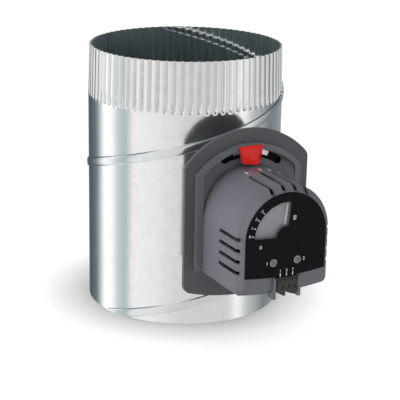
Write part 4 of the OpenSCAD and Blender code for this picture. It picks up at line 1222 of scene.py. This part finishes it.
@dataclass
class Markings:
    """Plain marks where the real object has its print. Lengths in millimetres, angles in degrees.

    Attributes:
        dial_at: centre of the dial.
        tick_angles: angles of the dial's marks, clockwise from straight up.
        tick_reach: inner and outer radius of the dial's marks.
        tick_w: width of the dial's marks.
        tick_gap: from the end of a mark to its number's middle.
        digit: height of the small digits.
        big_digit: height of the larger digits.
        ends: the numbers at the dial's ends, each with its place and its turn.
        lamps: places of the lamps.
        lamp_gap: from a lamp to its number.
        ring: radius and width of the rings round the lamps.
        terminals: places of the terminals' marks along X.
        terminal_reach: heights of those marks' ends.
        terminal_w: their width.
        terminal_digit_z: height of the terminals' numbers.
        arch_r: radius of the cover's arch where its slope starts.
        arch_d: depth at which its slope starts.
        arch_up: height of the arch's centre over the shaft.
        arch_slope: how much the arch draws in for each millimetre of depth.
        arch_thick: thickness of the marks on it.
    """

    dial_at: Flat = (0.5, 1.7)
    tick_angles: tuple[float, ...] = (-82.0, -70.0, -57.0, -44.0)
    tick_reach: Flat = (26.9, 28.6)
    tick_w: float = 0.5
    tick_gap: float = 1.5
    digit: float = 2.1
    big_digit: float = 2.6
    ends: tuple[tuple[str, Flat, float], ...] = (("90", (6.4, 15.5), 90.0), ("0", (-20.5, -3.2), 0.0))
    lamps: tuple[Flat, ...] = ((-9.7, -16.1), (9.7, -16.1))
    lamp_gap: float = 5.2
    ring: Flat = (2.5, 0.5)
    terminals: tuple[float, ...] = (-3.88, 1.2, 6.28)
    terminal_reach: Flat = (-24.6, -27.2)
    terminal_w: float = 0.6
    terminal_digit_z: float = -22.9
    arch_r: float = 37.8
    arch_d: float = 104.0
    arch_up: float = 2.0
    arch_slope: float = 0.0113
    arch_thick: float = 0.16

    # Marks on the arch: name, finish, angles from straight up, depth of their near and far ends, width
    ARCH_MARKS = (("arch_ticks", Finishes.PRINT, (-15.0, 1.6, 14.0, 27.0), (118.0, 122.0), 0.6),
                  ("arch_red_mark", Finishes.RED_PRINT, (-10.0,), (112.8, 116.8), 2.6),
                  ("arch_red_block", Finishes.RED_PRINT, (-3.5,), (118.0, 122.5), 3.4))

    def build(self) -> None:
        """Makes the marks of the dial, the lamps, the terminals and the lever."""
        self._face()
        self._rings()
        for mark in self.ARCH_MARKS:
            self._arch(*mark)

    def _on_dial(self, radius: float, angle: float) -> Flat:
        """Point at a radius and an angle clockwise from straight up, about the dial's centre."""
        a = math.radians(angle)
        return self.dial_at[0] + radius * math.sin(a), self.dial_at[1] + radius * math.cos(a)

    def _face(self) -> None:
        """Makes the numbers and ticks on the label."""
        marks = Print("face_marks", Finishes.PRINT)
        inner, outer = self.tick_reach
        for count, angle in enumerate(self.tick_angles):
            marks.bar(self._on_dial(inner, angle), self._on_dial(outer, angle), self.tick_w)
            marks.number(str(count), self._on_dial(outer + self.tick_gap, angle), self.digit, -angle - 90.0)
        for text, place, turn in self.ends:
            marks.number(text, place, self.big_digit, turn)
        for count, (x, z) in enumerate(self.lamps):
            marks.number(str(count + 1), (x + math.copysign(self.lamp_gap, x), z), self.big_digit)
        for count, x in enumerate(self.terminals):
            marks.bar((x, self.terminal_reach[0]), (x, self.terminal_reach[1]), self.terminal_w)
            marks.number(str(count + 1), (x, self.terminal_digit_z), self.digit)
        marks.build()

    def _rings(self) -> None:
        """Makes the printed rings round the lamps."""
        rings = Print("lamp_rings", Finishes.GREY_PRINT)
        for place in self.lamps:
            rings.ring(place, *self.ring)
        rings.build()

    def _arch(self, name: str, finish: Finish, angles: Sequence[float], reach: Flat, width: float) -> None:
        """Makes marks along the depth on the cover's arch, under the knob.

        Args:
            name: the piece's name.
            finish: its finish.
            angles: the angles of the marks from straight up.
            reach: depth of their near and far ends.
            width: their width.
        """
        mesh = bmesh.new()
        depth = sum(reach) / 2
        lift = self.arch_r - self.arch_slope * (depth - self.arch_d)
        form = Matrix.Diagonal((width * MM, (reach[1] - reach[0]) * MM, self.arch_thick * MM, 1.0))
        for angle in angles:
            stand = (Matrix.Translation((0.0, -depth * MM, (PLACES.shaft_z + self.arch_up) * MM))
                     @ Matrix.Rotation(math.radians(angle), 4, "Y")
                     @ Matrix.Translation((0.0, 0.0, lift * MM))
                     @ Matrix.Rotation(math.atan(self.arch_slope), 4, "X"))
            bmesh.ops.create_cube(mesh, size=1.0, matrix=stand @ form)
        Mesh.show(name, mesh, finish, Body.ROOT)


@dataclass
class Studio:
    """White floor and background, soft lamps and the camera.

    Attributes:
        camera_at: the camera's place.
        azimuth: direction from the object to the camera, in degrees from -Y towards +X.
        elevation: its rise, in degrees.
        roll: its roll, in degrees.
        lens: focal length, in millimetres.
        sensor: width of the camera's sensor, in millimetres.
        aim: the point that the lamps look at.
        floor: half the side of the floor.
        shadow_reach: distance over which the object darkens the floor.
        shadow_power: how fast that shadow falls off.
        floor_glow: the floor's brightness away from the object.
        plain_light: strength of the world's plain light.
    """

    camera_at: Point = (-0.4495, -0.9003, 0.39193)
    azimuth: float = -27.29
    elevation: float = 17.41
    roll: float = 1.13
    lens: float = 117.32
    sensor: float = 36.0
    aim: Point = (0.0, -0.05, 0.1)
    floor: float = 6.0
    shadow_reach: float = 0.05
    shadow_power: float = 1.25
    floor_glow: float = 0.95
    plain_light: float = 0.45

    # Lamps: name, place, side, power in watts, and whether each lights the gloss and nothing else
    LAMPS = (("key", (-1.5, 0.15, 0.75), 1.5, 25.0, False), ("front", (-0.1, -1.6, 0.7), 1.6, 8.0, False),
             ("top", (0.1, -0.1, 1.8), 1.8, 12.0, False), ("glint", (-1.1, -0.35, 1.4), 1.1, 4.0, True))

    # Studio cards, by direction round the object: turn in degrees from -Y towards +X, and colour
    CARDS = ((-180, (0.08, 0.10, 0.11)), (-156, (0.16, 0.20, 0.22)), (-147, (0.50, 0.55, 0.57)),
             (-137, (1.3, 1.3, 1.3)), (-121, (1.2, 1.2, 1.2)), (-113, (0.70, 0.77, 0.80)),
             (-99, (0.46, 0.55, 0.58)), (-90, (1.04, 1.04, 1.04)), (-60, (0.96, 0.96, 0.95)),
             (-25, (0.76, 0.76, 0.75)), (30, (0.74, 0.74, 0.73)), (46, (1.15, 1.15, 1.13)),
             (60, (0.60, 0.62, 0.63)), (92, (0.20, 0.24, 0.26)), (135, (0.36, 0.39, 0.41)),
             (180, (0.08, 0.10, 0.11)))

    # How the cards dim with their rise: sine of the rise, and colour
    RISE = ((0.0, (1.0, 1.0, 1.0)), (0.25, (1.0, 1.0, 1.0)), (0.65, (0.22, 0.24, 0.25)),
            (1.0, (0.16, 0.18, 0.19)))

    # Colours of the background, of the floor to other rays, and of the floor under its glow
    WHITE = (1.0, 1.0, 1.0, 1.0)
    PALE = (0.80, 0.80, 0.80, 1.0)
    SHADOW = (0.10, 0.10, 0.10, 1.0)

    def build(self) -> None:
        """Makes the studio."""
        self._floor()
        self._world()
        self._camera()
        for lamp in self.LAMPS:
            self._lamp(*lamp)

    def _floor(self) -> None:
        """Makes a pale floor that shows white to the camera, apart from the object's shadow."""
        mesh = bmesh.new()
        bmesh.ops.create_grid(mesh, x_segments=2, y_segments=2, size=self.floor)
        data = bpy.data.meshes.new("floor")
        mesh.to_mesh(data)
        mesh.free()
        floor = Mesh.hold("floor", data)
        floor.visible_glossy = False
        made = bpy.data.materials.new("Floor")
        made.use_nodes = True
        made.node_tree.nodes.clear()
        graph = Graph(made.node_tree)
        plain = graph.add("ShaderNodeBsdfDiffuse", {"Color": self.PALE})
        shadow = graph.add("ShaderNodeBsdfDiffuse", {"Color": self.SHADOW})
        near = graph.add("ShaderNodeAmbientOcclusion", {"Distance": self.shadow_reach}, samples=16)
        open_share = graph.math("POWER", near.outputs["AO"], self.shadow_power)
        level = graph.math("MULTIPLY", open_share, self.floor_glow)
        glow = graph.add("ShaderNodeEmission", {"Color": self.WHITE, "Strength": level})
        seen = graph.add("ShaderNodeAddShader", {0: shadow.outputs[0], 1: glow.outputs[0]})
        camera = graph.add("ShaderNodeLightPath").outputs["Is Camera Ray"]
        both = graph.add("ShaderNodeMixShader", {0: camera, 1: plain.outputs[0], 2: seen.outputs[0]})
        graph.add("ShaderNodeOutputMaterial", {"Surface": both.outputs[0]})
        data.materials.append(made)

    def _world(self) -> None:
        """Makes the world: white to the camera, plain light on the object and cards to its gloss."""
        world = bpy.data.worlds.new("Studio")
        bpy.context.scene.world = world
        world.use_nodes = True
        world.node_tree.nodes.clear()
        graph = Graph(world.node_tree)
        axes = graph.add("ShaderNodeSeparateXYZ", {0: graph.add("ShaderNodeTexCoord").outputs["Generated"]})
        turn = graph.math("ARCTAN2", axes.outputs[0], graph.math("MULTIPLY", axes.outputs[1], -1.0))
        share = graph.math("ADD", graph.math("DIVIDE", turn, 2 * math.pi), 0.5)
        cards = graph.ramp(share, [(turn_at / 360 + 0.5, color) for turn_at, color in self.CARDS])
        product = graph.vector("MULTIPLY", cards, graph.ramp(axes.outputs[2], self.RISE))
        path = graph.add("ShaderNodeLightPath").outputs
        gloss, light, shown = (
            graph.add("ShaderNodeBackground", {"Color": color, "Strength": strength}).outputs[0]
            for color, strength in ((product, 1.0), (self.WHITE, self.plain_light), (self.WHITE, 1.0)))
        clear = graph.math("MAXIMUM", path["Is Camera Ray"], path["Is Transmission Ray"])
        first = graph.add("ShaderNodeMixShader", {0: path["Is Glossy Ray"], 1: light, 2: gloss})
        mixed = graph.add("ShaderNodeMixShader", {0: clear, 1: first.outputs[0], 2: shown})
        graph.add("ShaderNodeOutputWorld", {"Surface": mixed.outputs[0]})

    def _camera(self) -> None:
        """Sets the camera at the photograph's viewing angle."""
        a, e, r = (math.radians(v) for v in (self.azimuth, self.elevation, self.roll))
        back = Vector((math.sin(a) * math.cos(e), -math.cos(a) * math.cos(e), math.sin(e)))
        right = Vector((math.cos(a), math.sin(a), 0.0))
        up = back.cross(right)
        right, up = right * math.cos(r) + up * math.sin(r), up * math.cos(r) - right * math.sin(r)
        data = bpy.data.cameras.new("Camera")
        data.lens = self.lens
        data.sensor_width = self.sensor
        camera = Mesh.hold("Camera", data)
        turn = Matrix((right, up, back)).transposed().to_4x4()
        camera.matrix_world = Matrix.Translation(self.camera_at) @ turn
        bpy.context.scene.camera = camera

    def _lamp(self, name: str, place: Point, size: float, power: float, shiny: bool) -> None:
        """Adds a square lamp that points at the object, for its plain light or for its gloss alone.

        Args:
            name: its name.
            place: its place.
            size: its side.
            power: its power, in watts.
            shiny: whether it lights the gloss and nothing else.
        """
        data = bpy.data.lights.new(name, "AREA")
        data.size = size
        data.energy = power
        lamp = Mesh.hold(name, data)
        lamp.location = place
        lamp.rotation_euler = (Vector(self.aim) - Vector(place)).to_track_quat("-Z", "Y").to_euler()
        lamp.visible_glossy = shiny
        lamp.visible_diffuse = not shiny


def main() -> None:
    """Builds the sub-assemblies in order."""
    logging.basicConfig(level=logging.INFO, format="%(name)s: %(message)s")
    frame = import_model()
    bpy.context.scene.view_settings.view_transform = "Standard"
    parts = [SpiralDuct(), Mounting(frame), Cover(frame), Electrics(frame), Drive(frame), BladeSet(frame),
             StopLever(frame), Markings(), Studio()]
    for part in parts:
        part.build()
        LOG.info("built %s", type(part).__name__)


if __name__ == "__main__":
    main()
